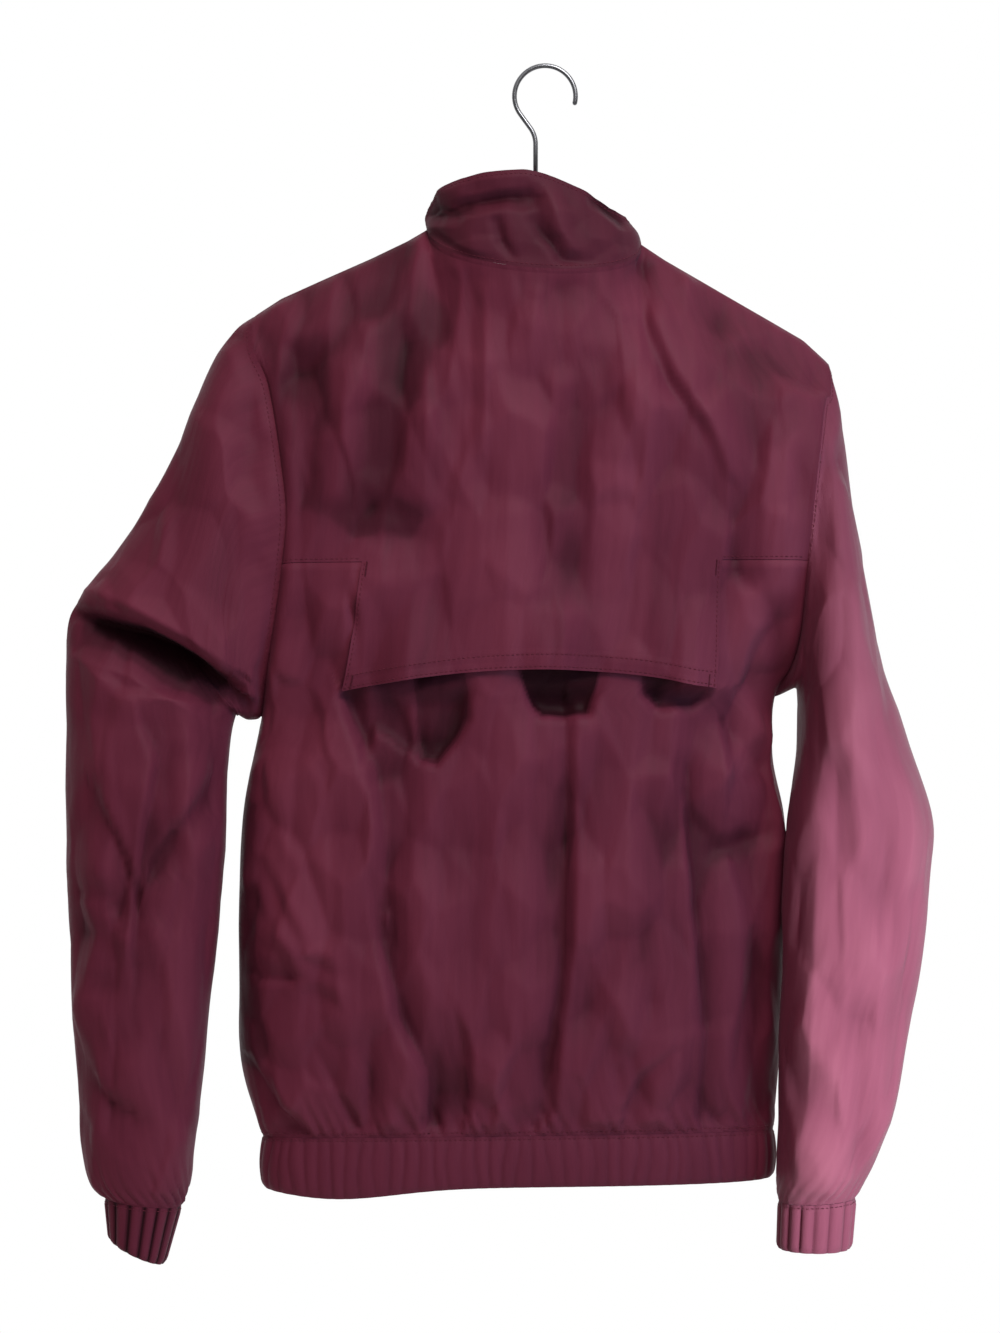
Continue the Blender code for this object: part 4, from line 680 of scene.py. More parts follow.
def crumple(grid, out, seed, size=33.0, tilt=0.31, tall=1.9):
    """The crushed look of crinkled nylon: flat tall facets that meet along crisp ridges and valleys."""
    chance = np.random.default_rng(seed)
    squeeze = np.array([1, 1, 1 / tall])
    sway = np.stack([wander(grid * squeeze, size * 0.9, seed + k) for k in range(3)], axis=-1)
    place = (grid + 0.2 * size * sway) * squeeze / size
    cell = np.floor(place).astype(int)
    total = np.zeros(grid.shape[:2])
    for way in (1, -1):
        spots = chance.uniform(0.08, 0.92, (4096, 4))
        best = np.full(grid.shape[:2], 1e9)
        for step in np.ndindex(3, 3, 3):
            near = cell + step - 1
            pick = spots[(near @ np.array([73, 179, 283])) % 4096]
            best = np.minimum(best, ((near + pick[..., :3] - place) ** 2).sum(axis=-1) + 0.3 * pick[..., 3])
        total += way * best
    uneven = 0.75 + 0.5 * wander(grid * squeeze, 3.2 * size, seed + 9)
    return total * tilt * size * (uneven * (0.3 + 0.7 * smooth(0.15, 0.8, np.abs(out[..., 1]))))


def gathers(grid, seed, edge="foot", pitch=11.0, height=26.0, depth=2.4):
    """Short uneven pleats that fan out of a seam where elastic draws the cloth in."""
    away = from_edge(grid, edge)
    at = from_edge(grid, "first")
    line = np.stack([at / pitch, 0 * at, 0 * at + seed], axis=-1)
    phase = 2 * math.pi * (at / pitch + 0.55 * wander(line, 2.3, seed))
    strength = 0.55 + 0.75 * wander(line, 1.7, seed + 1)
    longer = height * (0.75 + 0.7 * wander(line, 1.4, seed + 2))
    fall = smooth(0, 5, away) * np.exp(-(away / np.maximum(longer, 6)) ** 1.5)
    pleat = 1 - 2 * np.abs(np.sin(phase / 2)) ** 0.8
    return -depth * strength * pleat * fall


def tension(grid, edges, reach):
    """0 on the seams that hold the cloth flat, rising to 1 within reach of them."""
    return math.prod(smooth(0, reach, from_edge(grid, edge)) for edge in edges)


def near_seams(grid, edges, reach=4.0):
    """1 on the seams, falling to 0 within reach of them."""
    return np.max([1 - smooth(0.4, reach, from_edge(grid, edge)) for edge in edges], axis=0)


def neck_shade(grid, reach=46.0):
    """How much painted shade darkens the cloth below the neck seam, 1 at the seam."""
    at = np.arange(grid.shape[1])
    left, _, right = BACK_COLUMNS
    return ((1 - smooth(0, reach, from_edge(grid, "head")))
            * smooth(left - 30, left, at) * smooth(right - 30, right, at[::-1]))


def seam_dip(away, deep):
    return -deep * np.exp(-((away / SEAM_REACH) ** 2))


def nipped(grid, edges):
    """The grid with its sewn edges stopped just short of the seam."""
    made = grid.copy()
    for edge in edges:
        rows = turned(grid, edge)
        turned(made, edge)[0] += unit(rows[1] - rows[0]) * NIP
    return made


def grooved(grid, grooves):
    """How far the seams draw the cloth in. grooves: how deep, edge by edge."""
    return sum(seam_dip(from_edge(grid, edge), deep) for edge, deep in grooves.items())


def sewn(grid, out, grooves):
    """The cloth with a groove along each of its seams, where it stops short."""
    return nipped(grid + out * grooved(grid, grooves)[..., None], grooves)


# ---------------------------------------------------------------- turning a grid into cloth

def cut_of(grid, wrap):
    """Where each point lies on the flat cut: across it from its middle line, and up it from its foot."""
    closed = np.concatenate([grid, grid[:, :1]], axis=1) if wrap else grid
    across = run_along(closed.swapaxes(0, 1)).T
    across = across - across[:, [closed.shape[1] // 2]]
    up = np.concatenate([[0], np.cumsum(np.linalg.norm(np.diff(closed, axis=0), axis=2).mean(axis=1))])
    return np.stack([across, np.broadcast_to(up[:, None], across.shape)], axis=-1)


def sewing_piece(name, points, faces, finish, thick=0.0):
    """A smooth mesh that rides with the garment, from points in millimetres, given its thickness inwards."""
    mesh = bpy.data.meshes.new(name)
    mesh.from_pydata((points * MM).tolist(), [], faces)
    mesh.shade_smooth()
    mesh.materials.append(finish)
    made = bpy.data.objects.new(name, mesh)
    bpy.context.scene.collection.objects.link(made)
    if thick:
        wall = made.modifiers.new("cloth_thickness", "SOLIDIFY")
        wall.thickness, wall.offset = thick * MM, -1
    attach(made, "windbreaker")
    return made


def cloth(name, node, grid, outward, finish, painted_light_and_shade, seam, used=None, wrap=False, thick=CLOTH):
    """The cloth that stands for a node, over a grid of its outer face's points, with its cut as the UV map."""
    rows, columns = grid.shape[:2]
    i, j = (at.ravel() for at in np.indices((rows - 1, columns if wrap else columns - 1)))
    if used is not None:
        i, j = i[used.ravel()], j[used.ravel()]
    k = (j + 1) % columns
    corners = np.stack([i * columns + j, i * columns + k, (i + 1) * columns + k, (i + 1) * columns + j], axis=1)
    uv = cut_of(grid, wrap)[np.stack([i, i, i + 1, i + 1], axis=1), np.stack([j, j + 1, j + 1, j], axis=1)]
    points = grid.reshape(-1, 3)
    start, right, over = (points[corners[:, n]] for n in range(3))
    if (np.cross(right - start, over - start) * outward.reshape(-1, 3)[corners[:, 0]]).sum() < 0:
        corners, uv = corners[:, ::-1], uv[:, ::-1]
    kept, index = np.unique(corners, return_inverse=True)
    made = sewing_piece(name, points[kept], index.reshape(corners.shape).tolist(), finish, thick)
    mesh = made.data
    mesh.uv_layers.new(name="cut").uv.foreach_set("vector", (uv * MM).astype(np.float32).ravel())
    # Each point's painted light and shade, and how near it lies to a seam, go to the finish as attributes
    for label, values in (("painted_light_and_shade", painted_light_and_shade), ("seam", seam)):
        shown = mesh.attributes.new(label, "FLOAT", "POINT").data
        shown.foreach_set("value", values.ravel()[kept].astype(np.float32))
    joins = np.empty(len(mesh.loops), np.int32)
    mesh.loops.foreach_get("edge_index", joins)
    raw = np.bincount(joins, minlength=len(mesh.edges)) == 1
    mesh.attributes.new("sharp_edge", "BOOLEAN", "EDGE").data.foreach_set("value", raw)
    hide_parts(node)
    return made


def inset_line(grid, outward, edge, inset, start=0, stop=None):
    """The line that runs a set distance inside an edge of a piece, with its outward directions."""
    points, ways = turned(grid, edge)[:, start:stop], turned(outward, edge)[:, start:stop]
    run = run_along(points)
    low = np.clip((run < inset).sum(axis=0) - 1, 0, len(points) - 2)
    column = np.arange(points.shape[1])
    share = ((inset - run[low, column]) / np.maximum(run[low + 1, column] - run[low, column], 1e-6))[:, None]
    line, way = (a[low, column] * (1 - share) + a[low + 1, column] * share for a in (points, ways))
    return line, unit(way)


def inset_lines(grid, outward, *insets):
    return [inset_line(grid, outward, edge, inset) for edge, inset in insets]


def inset_ring(grid, outward, edge, inset):
    return tuple(np.concatenate([line, line[:1]]) for line in inset_line(grid, outward, edge, inset))


def stitched(name, lines, long=2.7, gap=0.8, wide=0.30):
    """Rows of lockstitch: short plump threads laid end to end, whose ends dive into the cloth."""
    points, faces = [], []
    for line, ways in lines:
        run = run_along(line)
        count = max(1, int(run[-1] / (long + gap)))
        for centre in (np.arange(count) + 0.5) * run[-1] / count:
            tail, head = (np.array([np.interp(at, run, values) for values in line.T])
                          for at in (centre - 0.5 * long, centre + 0.5 * long))
            up = unit(np.array([np.interp(centre, run, values) for values in ways.T]))
            middle, ahead = (tail + head) / 2, head - tail
            side = unit(np.cross(up, ahead))
            first = len(points)
            for place, girth, lift in THREAD_RINGS:
                for k in range(THREAD_SIDES):
                    turn = 2 * math.pi * k / THREAD_SIDES
                    points.append(middle + ahead * place + up * (lift + wide * 0.8 * girth * math.sin(turn))
                                  + side * wide * girth * math.cos(turn))
            ring = first + np.arange(THREAD_SIDES)
            after = np.roll(ring, -1)
            for step in range(0, (len(THREAD_RINGS) - 1) * THREAD_SIDES, THREAD_SIDES):
                around = (ring + step, after + step, after + step + THREAD_SIDES, ring + step + THREAD_SIDES)
                faces += np.stack(around, axis=1).tolist()
            faces += [ring[::-1].tolist(), (ring + (len(THREAD_RINGS) - 1) * THREAD_SIDES).tolist()]
    return sewing_piece(name, np.array(points), faces, THREAD)


# ---------------------------------------------------------------- finishes

class Tone:
    """A number in a node tree. Sums on it add Math nodes."""

    def __init__(self, nodes, socket):
        self.nodes, self.socket = nodes, socket

    def sum(self, operation, *values):
        return self.nodes.tone("ShaderNodeMath", {"operation": operation}, dict(enumerate(values)))

    def __add__(self, other):
        return self.sum("ADD", self, other)

    def __sub__(self, other):
        return self.sum("SUBTRACT", self, other)

    def __mul__(self, other):
        return self.sum("MULTIPLY", self, other)

    def __radd__(self, other):
        return self.sum("ADD", other, self)

    def __rsub__(self, other):
        return self.sum("SUBTRACT", other, self)

    def __rmul__(self, other):
        return self.sum("MULTIPLY", other, self)

    def waves(self, pitch):
        return self.sum("SINE", self * (2 * math.pi / pitch))

    def size(self):
        return self.sum("ABSOLUTE", self)

    def held(self, low, high):
        return self.sum("MINIMUM", self.sum("MAXIMUM", self, low), high)


class Nodes:
    """A node tree, whose nodes are each made with their settings and inputs in one call."""

    def __init__(self, tree):
        self.tree = tree

    def node(self, kind, settings=None, inputs=None):
        made = self.tree.nodes.new(kind)
        for setting, value in (settings or {}).items():
            setattr(made, setting, value)
        for socket, value in (inputs or {}).items():
            self.set(made, socket, value)
        return made

    def set(self, node, socket, value):
        place = node.inputs[socket]
        value = value.socket if isinstance(value, Tone) else value
        if isinstance(value, bpy.types.NodeSocket):
            self.tree.links.new(value, place)
        else:
            place.default_value = value

    def tone(self, kind, settings=None, inputs=None, output=0):
        return Tone(self, self.node(kind, settings, inputs).outputs[output])

    def axes(self, vector):
        node = self.node("ShaderNodeSeparateXYZ", None, {0: vector})
        return [Tone(self, output) for output in node.outputs]

    def ramp(self, value, low, high, start, end):
        return self.tone("ShaderNodeMapRange", {"interpolation_type": "SMOOTHSTEP"},
                         {"Value": value, "From Min": low, "From Max": high, "To Min": start, "To Max": end})


class Finish(Nodes):
    """A material whose shader's own sockets are set by name, and whose other nodes come from node()."""

    def __init__(self, name, **constants):
        self.material = bpy.data.materials.new(name)
        self.material.use_nodes = True
        super().__init__(self.material.node_tree)
        self.wear(**constants)

    def wear(self, **links):
        for socket, value in links.items():
            self.set(self.tree.nodes["Principled BSDF"], socket.replace("_", " "), value)
        return self.material

    def place(self):
        """Where a point lies on the object, in the object's own axes."""
        return self.node("ShaderNodeTexCoord").outputs["Object"]

    def noise(self, vector, scale, detail=3.0, roughness=0.55, kind="FBM", twist=0.0):
        return self.tone("ShaderNodeTexNoise", {"noise_type": kind},
                         {"Vector": vector, "Scale": scale, "Detail": detail, "Roughness": roughness,
                          "Distortion": twist})

    def stretched(self, vector, scale):
        return self.node("ShaderNodeMapping", None, {"Vector": vector, "Scale": scale}).outputs[0]

    def mixed(self, share, low, high):
        return self.node("ShaderNodeMix", {"data_type": "RGBA"}, {0: share, 6: low, 7: high}).outputs[2]

    def raised(self, height, distance, strength=1.0, under=None):
        under = {} if under is None else {"Normal": under}
        return self.node("ShaderNodeBump", None,
                         {"Height": height, "Distance": distance, "Strength": strength, **under}).outputs[0]


def crinkled_nylon(name, crinkle=1.0, gloss=0.58, painted_shade_factor=1.0):
    """Crushed taffeta nylon: a fine plain weave, soft crinkles, random blotches and streaks of tone, and
    painted light and shade from a point attribute, with a painted shadow colour in the deepest creases.
    """
    skin = Finish(name, Sheen_Weight=0.05, Sheen_Roughness=0.45, Sheen_Tint=(1.0, 0.62, 0.78, 1),
                  Specular_IOR_Level=0.10)
    cut = skin.node("ShaderNodeUVMap", {"uv_map": "cut"}).outputs[0]
    painted_light_and_shade, seam = (skin.tone("ShaderNodeAttribute", {"attribute_name": label}, output=2)
                    for label in ("painted_light_and_shade", "seam"))
    long = skin.stretched(cut, (1.0, 0.28, 1.0))
    blotch = skin.noise(long, 16, 3, 0.6)
    streak = skin.noise(skin.stretched(cut, (1.0, 0.07, 1.0)), 150, 3, 0.65)
    ridge = skin.noise(long, 62, 4, 0.6, "RIDGED_MULTIFRACTAL", 0.35)
    pucker = skin.noise(long, 130, 3, 0.55, "FBM", 0.5)
    # The tone: random blotches and streaks, painted shade in creases, painted light on ridges, and slightly
    # darker seams
    lift = (0.5 + (blotch - 0.5) * 0.45 + (streak - 0.5) * 0.4 + painted_light_and_shade * 0.28 - seam * 0.08).held(0, 1)
    # A factor below 1 darkens every tone, as painted shade over the whole piece
    deep, mid, pale = ([v * painted_shade_factor for v in tint] + [1] for tint in (DEEP, MID, PALE))
    shade = skin.mixed((lift * 2).held(0, 1), deep, mid)
    dyed = skin.mixed((lift * 2 - 1).held(0, 1), shade, pale)
    # How far the colour sinks towards the painted shadow colour: mostly the painted shade of creases, roughened
    # by noise
    depth = (ridge - 0.5) * 0.22 + (pucker - 0.5) * 0.25 - painted_light_and_shade
    painted_shadow_share = sum(skin.ramp(depth, low, high, 0, most) for low, high, most in SHADE_STEPS)
    colour = skin.mixed(painted_shadow_share, dyed, (*PAINTED_SHADOW, 1))
    over, down, _ = skin.axes(cut)
    weave = over.waves(WEAVE_PITCH) * down.waves(WEAVE_PITCH)
    rough = (gloss + (ridge - 0.5) * 0.10 + (streak - 0.5) * 0.16 + seam * 0.12).held(0.2, 0.9)
    soft = skin.raised(ridge, 0.00055 * crinkle)
    puckered = skin.raised(pucker * (0.35 + seam * 1.8), 0.0007 * crinkle, 1.0, soft)
    return skin.wear(Base_Color=colour, Roughness=rough, Normal=skin.raised(weave, 0.00004, 0.6, puckered))


def thread_finish():
    """Twisted polyester sewing thread, dyed with the cloth."""
    skin = Finish("burgundy_thread", Sheen_Weight=0.05, Sheen_Tint=(1.0, 0.7, 0.8, 1), Specular_IOR_Level=0.12)
    place = skin.place()
    twist = skin.tone("ShaderNodeTexWave", {"bands_direction": "DIAGONAL"},
                      {"Vector": place, "Scale": 900, "Distortion": 1.5}, 1)
    grime = skin.noise(place, 40, 2)
    share = (twist * 0.7 + grime * 0.3).held(0, 1)
    return skin.wear(Base_Color=skin.mixed(share, (0.075, 0.0085, 0.019, 1), (0.19, 0.027, 0.053, 1)),
                     Roughness=0.5 + twist * 0.2, Normal=skin.raised(twist, 0.00012))


def tape_finish():
    """The zip's woven polyester tape: a tight herringbone in a darker shade than the cloth."""
    skin = Finish("zip_tape_twill", Sheen_Weight=0.25, Sheen_Tint=(1.0, 0.7, 0.8, 1))
    place = skin.place()
    x, _, z = skin.axes(place)
    rib, wale = (x.size() * 1.2 + z).waves(0.0013), x.waves(0.0009)
    grime = skin.noise(place, 60, 3)
    share = (0.5 + rib * 0.2 + wale * 0.15 + (grime - 0.5) * 0.6).held(0, 1)
    return skin.wear(Base_Color=skin.mixed(share, (0.030, 0.005, 0.010, 1), (0.085, 0.014, 0.026, 1)),
                     Roughness=0.72 + grime * 0.15, Normal=skin.raised(rib * 0.6 + wale * 0.4, 0.00015))


def metal_finish(name, dark, light, gloss):
    """Plated metal, with fine hairlines and duller patches where hands rub it."""
    skin = Finish(name, Metallic=1.0)
    place = skin.place()
    hairline = skin.noise(skin.stretched(place, (1.0, 1.0, 0.08)), 1800, 2, 0.6)
    rubbed = skin.noise(place, 90, 3, 0.6)
    colour = skin.mixed((rubbed * 0.75 + hairline * 0.25).held(0, 1), dark, light)
    rough = (gloss + (rubbed - 0.5) * 0.22 + (hairline - 0.5) * 0.18).held(0.08, 0.8)
    return skin.wear(Base_Color=colour, Roughness=rough, Normal=skin.raised(hairline, 0.00003, 0.7))


def plastic_finish():
    """The hanger's moulded plastic, with a faint grain and a few dull rubbed places."""
    skin = Finish("hanger_moulded_plastic", Specular_IOR_Level=0.5)
    place = skin.place()
    grain, rubbed = skin.noise(place, 1400, 2, 0.5), skin.noise(place, 28, 3, 0.6)
    colour = skin.mixed(rubbed, (0.030, 0.030, 0.033, 1), (0.070, 0.070, 0.076, 1))
    return skin.wear(Base_Color=colour, Roughness=0.34 + rubbed * 0.22, Normal=skin.raised(grain, 0.00006))


NYLON = crinkled_nylon("crinkled_burgundy_nylon")
CASING = crinkled_nylon("gathered_burgundy_nylon", crinkle=0.6, gloss=0.62)
# The collar's nylon: the same cloth with every colour darkened, as painted shade over the whole collar
SHADED_COLLAR_NYLON = crinkled_nylon("shaded_collar_nylon", crinkle=0.8, gloss=0.6, painted_shade_factor=0.62)
THREAD = thread_finish()
TAPE = tape_finish()
STEEL = metal_finish("hook_chromed_wire", (0.16, 0.16, 0.17, 1), (0.36, 0.36, 0.38, 1), 0.26)
ZIP_METAL = metal_finish("zip_plated_metal", (0.20, 0.19, 0.19, 1), (0.42, 0.41, 0.40, 1), 0.36)
PLASTIC = plastic_finish()


# ---------------------------------------------------------------- the garment

def body_folds(grid, out, creases, reach, seed, pleat_seed):
    """How far the creases, the crumple and the gathers over the hem move a part of the body."""
    hold = tension(grid, ("head", "first", "last"), reach) * smooth(0, 9, from_edge(grid, "foot"))
    fine = crumple(grid, out, seed) * tension(grid, ("foot", "head", "first", "last"), LIE_FLAT)
    sides = smooth(0, LIE_FLAT, np.minimum(from_edge(grid, "first"), from_edge(grid, "last")))
    return creases * hold + fine + gathers(grid, pleat_seed) * sides


def make_back():
    """The whole back as one folded surface, its outward directions, and the depth of its creases with the
    facets' painted light and shade added.
    """
    grid = back_surface()
    out = body_outward(grid, 1)
    creases = (creased(grid, BACK_CREASES) + creased(grid, BACK_PATCHES, 0.6)
               + faceted(grid, BACK_FACETS, 9.0, DEPTH))
    moved = body_folds(grid, out, creases, 24, 11, 21)
    # The facets' painted light and shade are added to the creases' depth
    return grid + out * moved[..., None], out, moved + BODY_SHADE * faceted(grid, BACK_FACETS, 8.0, SHADE)


def make_fronts():
    made = {}
    for name, side_x, seed in (("left", 1, 31), ("right", -1, 41)):
        grid = front_surface(side_x)
        out = body_outward(grid, -1)
        moved = body_folds(grid, out, creased(grid, FRONT_CREASES), 22, seed, seed + 3)
        made[name] = (grid + out * moved[..., None], out, moved)
    return made


def make_sleeve(back_edge, front_edge, table, steps, back_creases, front_creases, seed):
    armhole = np.concatenate([back_edge[:UNDERARM - 1:-1], front_edge[UNDERARM + 1:-1]])
    grid = sleeve_surface(armhole, table, steps)
    out = tube_outward(grid, wrap=True)
    rear, face = np.clip(out[..., 1], 0, 1), np.clip(-out[..., 1], 0, 1)
    hold = tension(grid, ["foot"], 26) * smooth(0, 8, from_edge(grid, "head"))
    deep = (creased(grid, back_creases) * rear**0.8 + creased(grid, front_creases) * face**0.8) * hold
    fine = crumple(grid, out, seed) * tension(grid, ("foot", "head"), LIE_FLAT)
    moved = deep + fine + gathers(grid, seed + 3, "head", 8.0, 24.0, 1.9)
    return grid + out * moved[..., None], out, moved


def ribbed(grid, per_rib, seed, depth, open_ended):
    """Rounded uneven ribs that run up and down an elastic casing, and how hollow it is between them."""
    rows, columns = np.arange(grid.shape[0])[:, None], np.arange(grid.shape[1])
    at, t = columns / per_rib, rows / (grid.shape[0] - 1)
    if open_ended:
        spot = np.stack([at + 0 * rows, rows * 0.12 + 0 * at, seed + 0 * (rows + at)], axis=-1)
        phase = at + 0.42 * wander(spot, 1.9, seed)
        calm = calm_ends(len(columns), per_rib * 1.5)
    else:
        phase = at + 0.12 * np.sin(2 * math.pi * columns / len(columns) * 3) + 0 * rows
        calm = 1
    crest = np.abs(np.sin(math.pi * phase)) ** 0.62
    strength = 0.8 + 0.5 * wander(np.stack([at, 0 * at, 0 * at + seed * 1.7], axis=-1), 2.1, seed + 1)
    profile = smooth(0, 0.12, t) * (1 - 0.45 * smooth(0.86, 1.0, t))
    return depth * (crest - 0.62) * strength * profile * calm, 1 - crest


def cased(grid, out, ribs, lip):
    """An elastic casing with its ribs, its seam, and its open edge drawn in by lip."""
    shown = grid + out * (ribs + seam_dip(from_edge(grid, "foot"), 0.4))[..., None]
    t = np.linspace(0, 1, len(grid))[:, None]
    shown -= out * (lip * smooth(0.88, 1.0, t) ** 2)[..., None]
    return nipped(shown, ["foot"])


def share_seam(*places):
    """Gives sewn edges one direction outwards, so that their grooves meet."""
    both = unit(sum(out[at] for out, at in places))
    for out, at in places:
        out[at] = both


def share_seams(back, fronts, sleeves, collar):
    over, under = FRONT_COLUMNS
    middle, columns, s = BACK_COLUMNS[1], sum(BACK_COLUMNS), np.s_
    left, right = fronts["left"], fronts["right"]
    for front, column in ((left, 0), (right, -1)):
        share_seam((back, s[:UNDERARM + 1, column]), (front, s[:UNDERARM + 1, 0]))
    share_seam((back, s[-1, :over + 1]), (left, s[-1, :over + 1]))
    share_seam((back, s[-1, columns - over:]), (right, s[-1, over::-1]))
    share_seam((collar, s[0, under:under + middle + 1]), (back, s[-1, over:over + middle + 1]))
    share_seam((collar, s[0, under::-1]), (left, s[-1, over:]))
    share_seam((collar, s[0, -1 - under:]), (right, s[-1, over:]))
    share_seam((collar, s[0, under]), (left, s[-1, over]), (back, s[-1, over]))
    share_seam((collar, s[0, under + middle]), (right, s[-1, over]), (back, s[-1, columns - over]))
    for sleeve, front, column in ((sleeves["left"], left, 0), (sleeves["right"], right, -1)):
        share_seam((sleeve, s[0, :ARMHOLE_STEPS + 1]), (back, s[:UNDERARM - 1:-1, column]))
        share_seam((sleeve, s[0, ARMHOLE_STEPS:]), (front, s[UNDERARM:-1, 0]))
        share_seam((sleeve, s[0, 0]), (front, s[-1, 0]), (back, s[-1, column]))
        share_seam((sleeve, s[0, ARMHOLE_STEPS]), (front, s[UNDERARM, 0]), (back, s[UNDERARM, column]))


def make_garment():
    """Makes every piece of cloth, and gives back the line of (y, z) that the zip runs along."""
    back, back_out, back_deep = make_back()
    fronts = make_fronts()
    (left, _, _), (right, _, _) = fronts.values()
    sleeves = {
        "left": make_sleeve(back[:, 0], left[:, 0], SLEEVE_LEFT, SLEEVE_LEFT_STEPS,
                            SLEEVE_LEFT_CREASES, SLEEVE_LEFT_FRONT_CREASES, 51),
        "right": make_sleeve(back[:, -1], right[:, 0], SLEEVE_RIGHT, SLEEVE_RIGHT_STEPS,
                             SLEEVE_RIGHT_CREASES, SLEEVE_RIGHT_FRONT_CREASES, 61),
    }
    over, middle = BACK_COLUMNS[:2]
    neck_line = join(left[-1, over:][::-1], back[-1, over:over + middle + 1], right[-1, over:])
    collar, collar_out, collar_deep = collar_folded(neck_line)
    outs = ({side: out for side, (_, out, _) in parts.items()} for parts in (fronts, sleeves))
    share_seams(back_out, *outs, collar_out)

    make_back_pieces(back, back_out, back_deep)
    make_collar(collar, collar_out, collar_deep)
    for side, (grid, out, deep) in fronts.items():
        grooves = {"foot": GROOVE, "head": NECK_GROOVE, "first": GROOVE}
        shown = sewn(grid, out, grooves)
        # Painted shade in the fronts' creases
        piece = cloth("front_cloth_" + side, "front_" + side, shown, out, NYLON, deep / 13,
                      near_seams(grid, grooves))
        lines = inset_lines(shown, out, ("last", ZIP_STITCH), ("foot", HEM_STITCH))
        stitched("front_stitching_" + side, lines)

    for side, parts in sleeves.items():
        grid, out, deep = (np.roll(a, -ARMHOLE_STEPS, axis=1) for a in parts)
        grooves = {"foot": GROOVE, "head": CUFF_GROOVE}
        shown = sewn(grid, out, grooves)
        # Painted shade in the sleeves' creases, stronger on their backs
        piece = cloth("sleeve_cloth_" + side, "sleeve_" + side, shown, out, NYLON,
                      deep / (10.2 - 2.8 * out[..., 1]), near_seams(grid, grooves), wrap=True)
        "front_cloth_" + side
        stitched("sleeve_stitching_" + side, [inset_ring(shown, out, "foot", CUFF_STITCH)])
        make_cuff(side, parts[0][-1])

    edge = join(make_band()[::-1, 0], left[:, -1], collar[:, 0])
    return [(y, z) for _, y, z in edge]


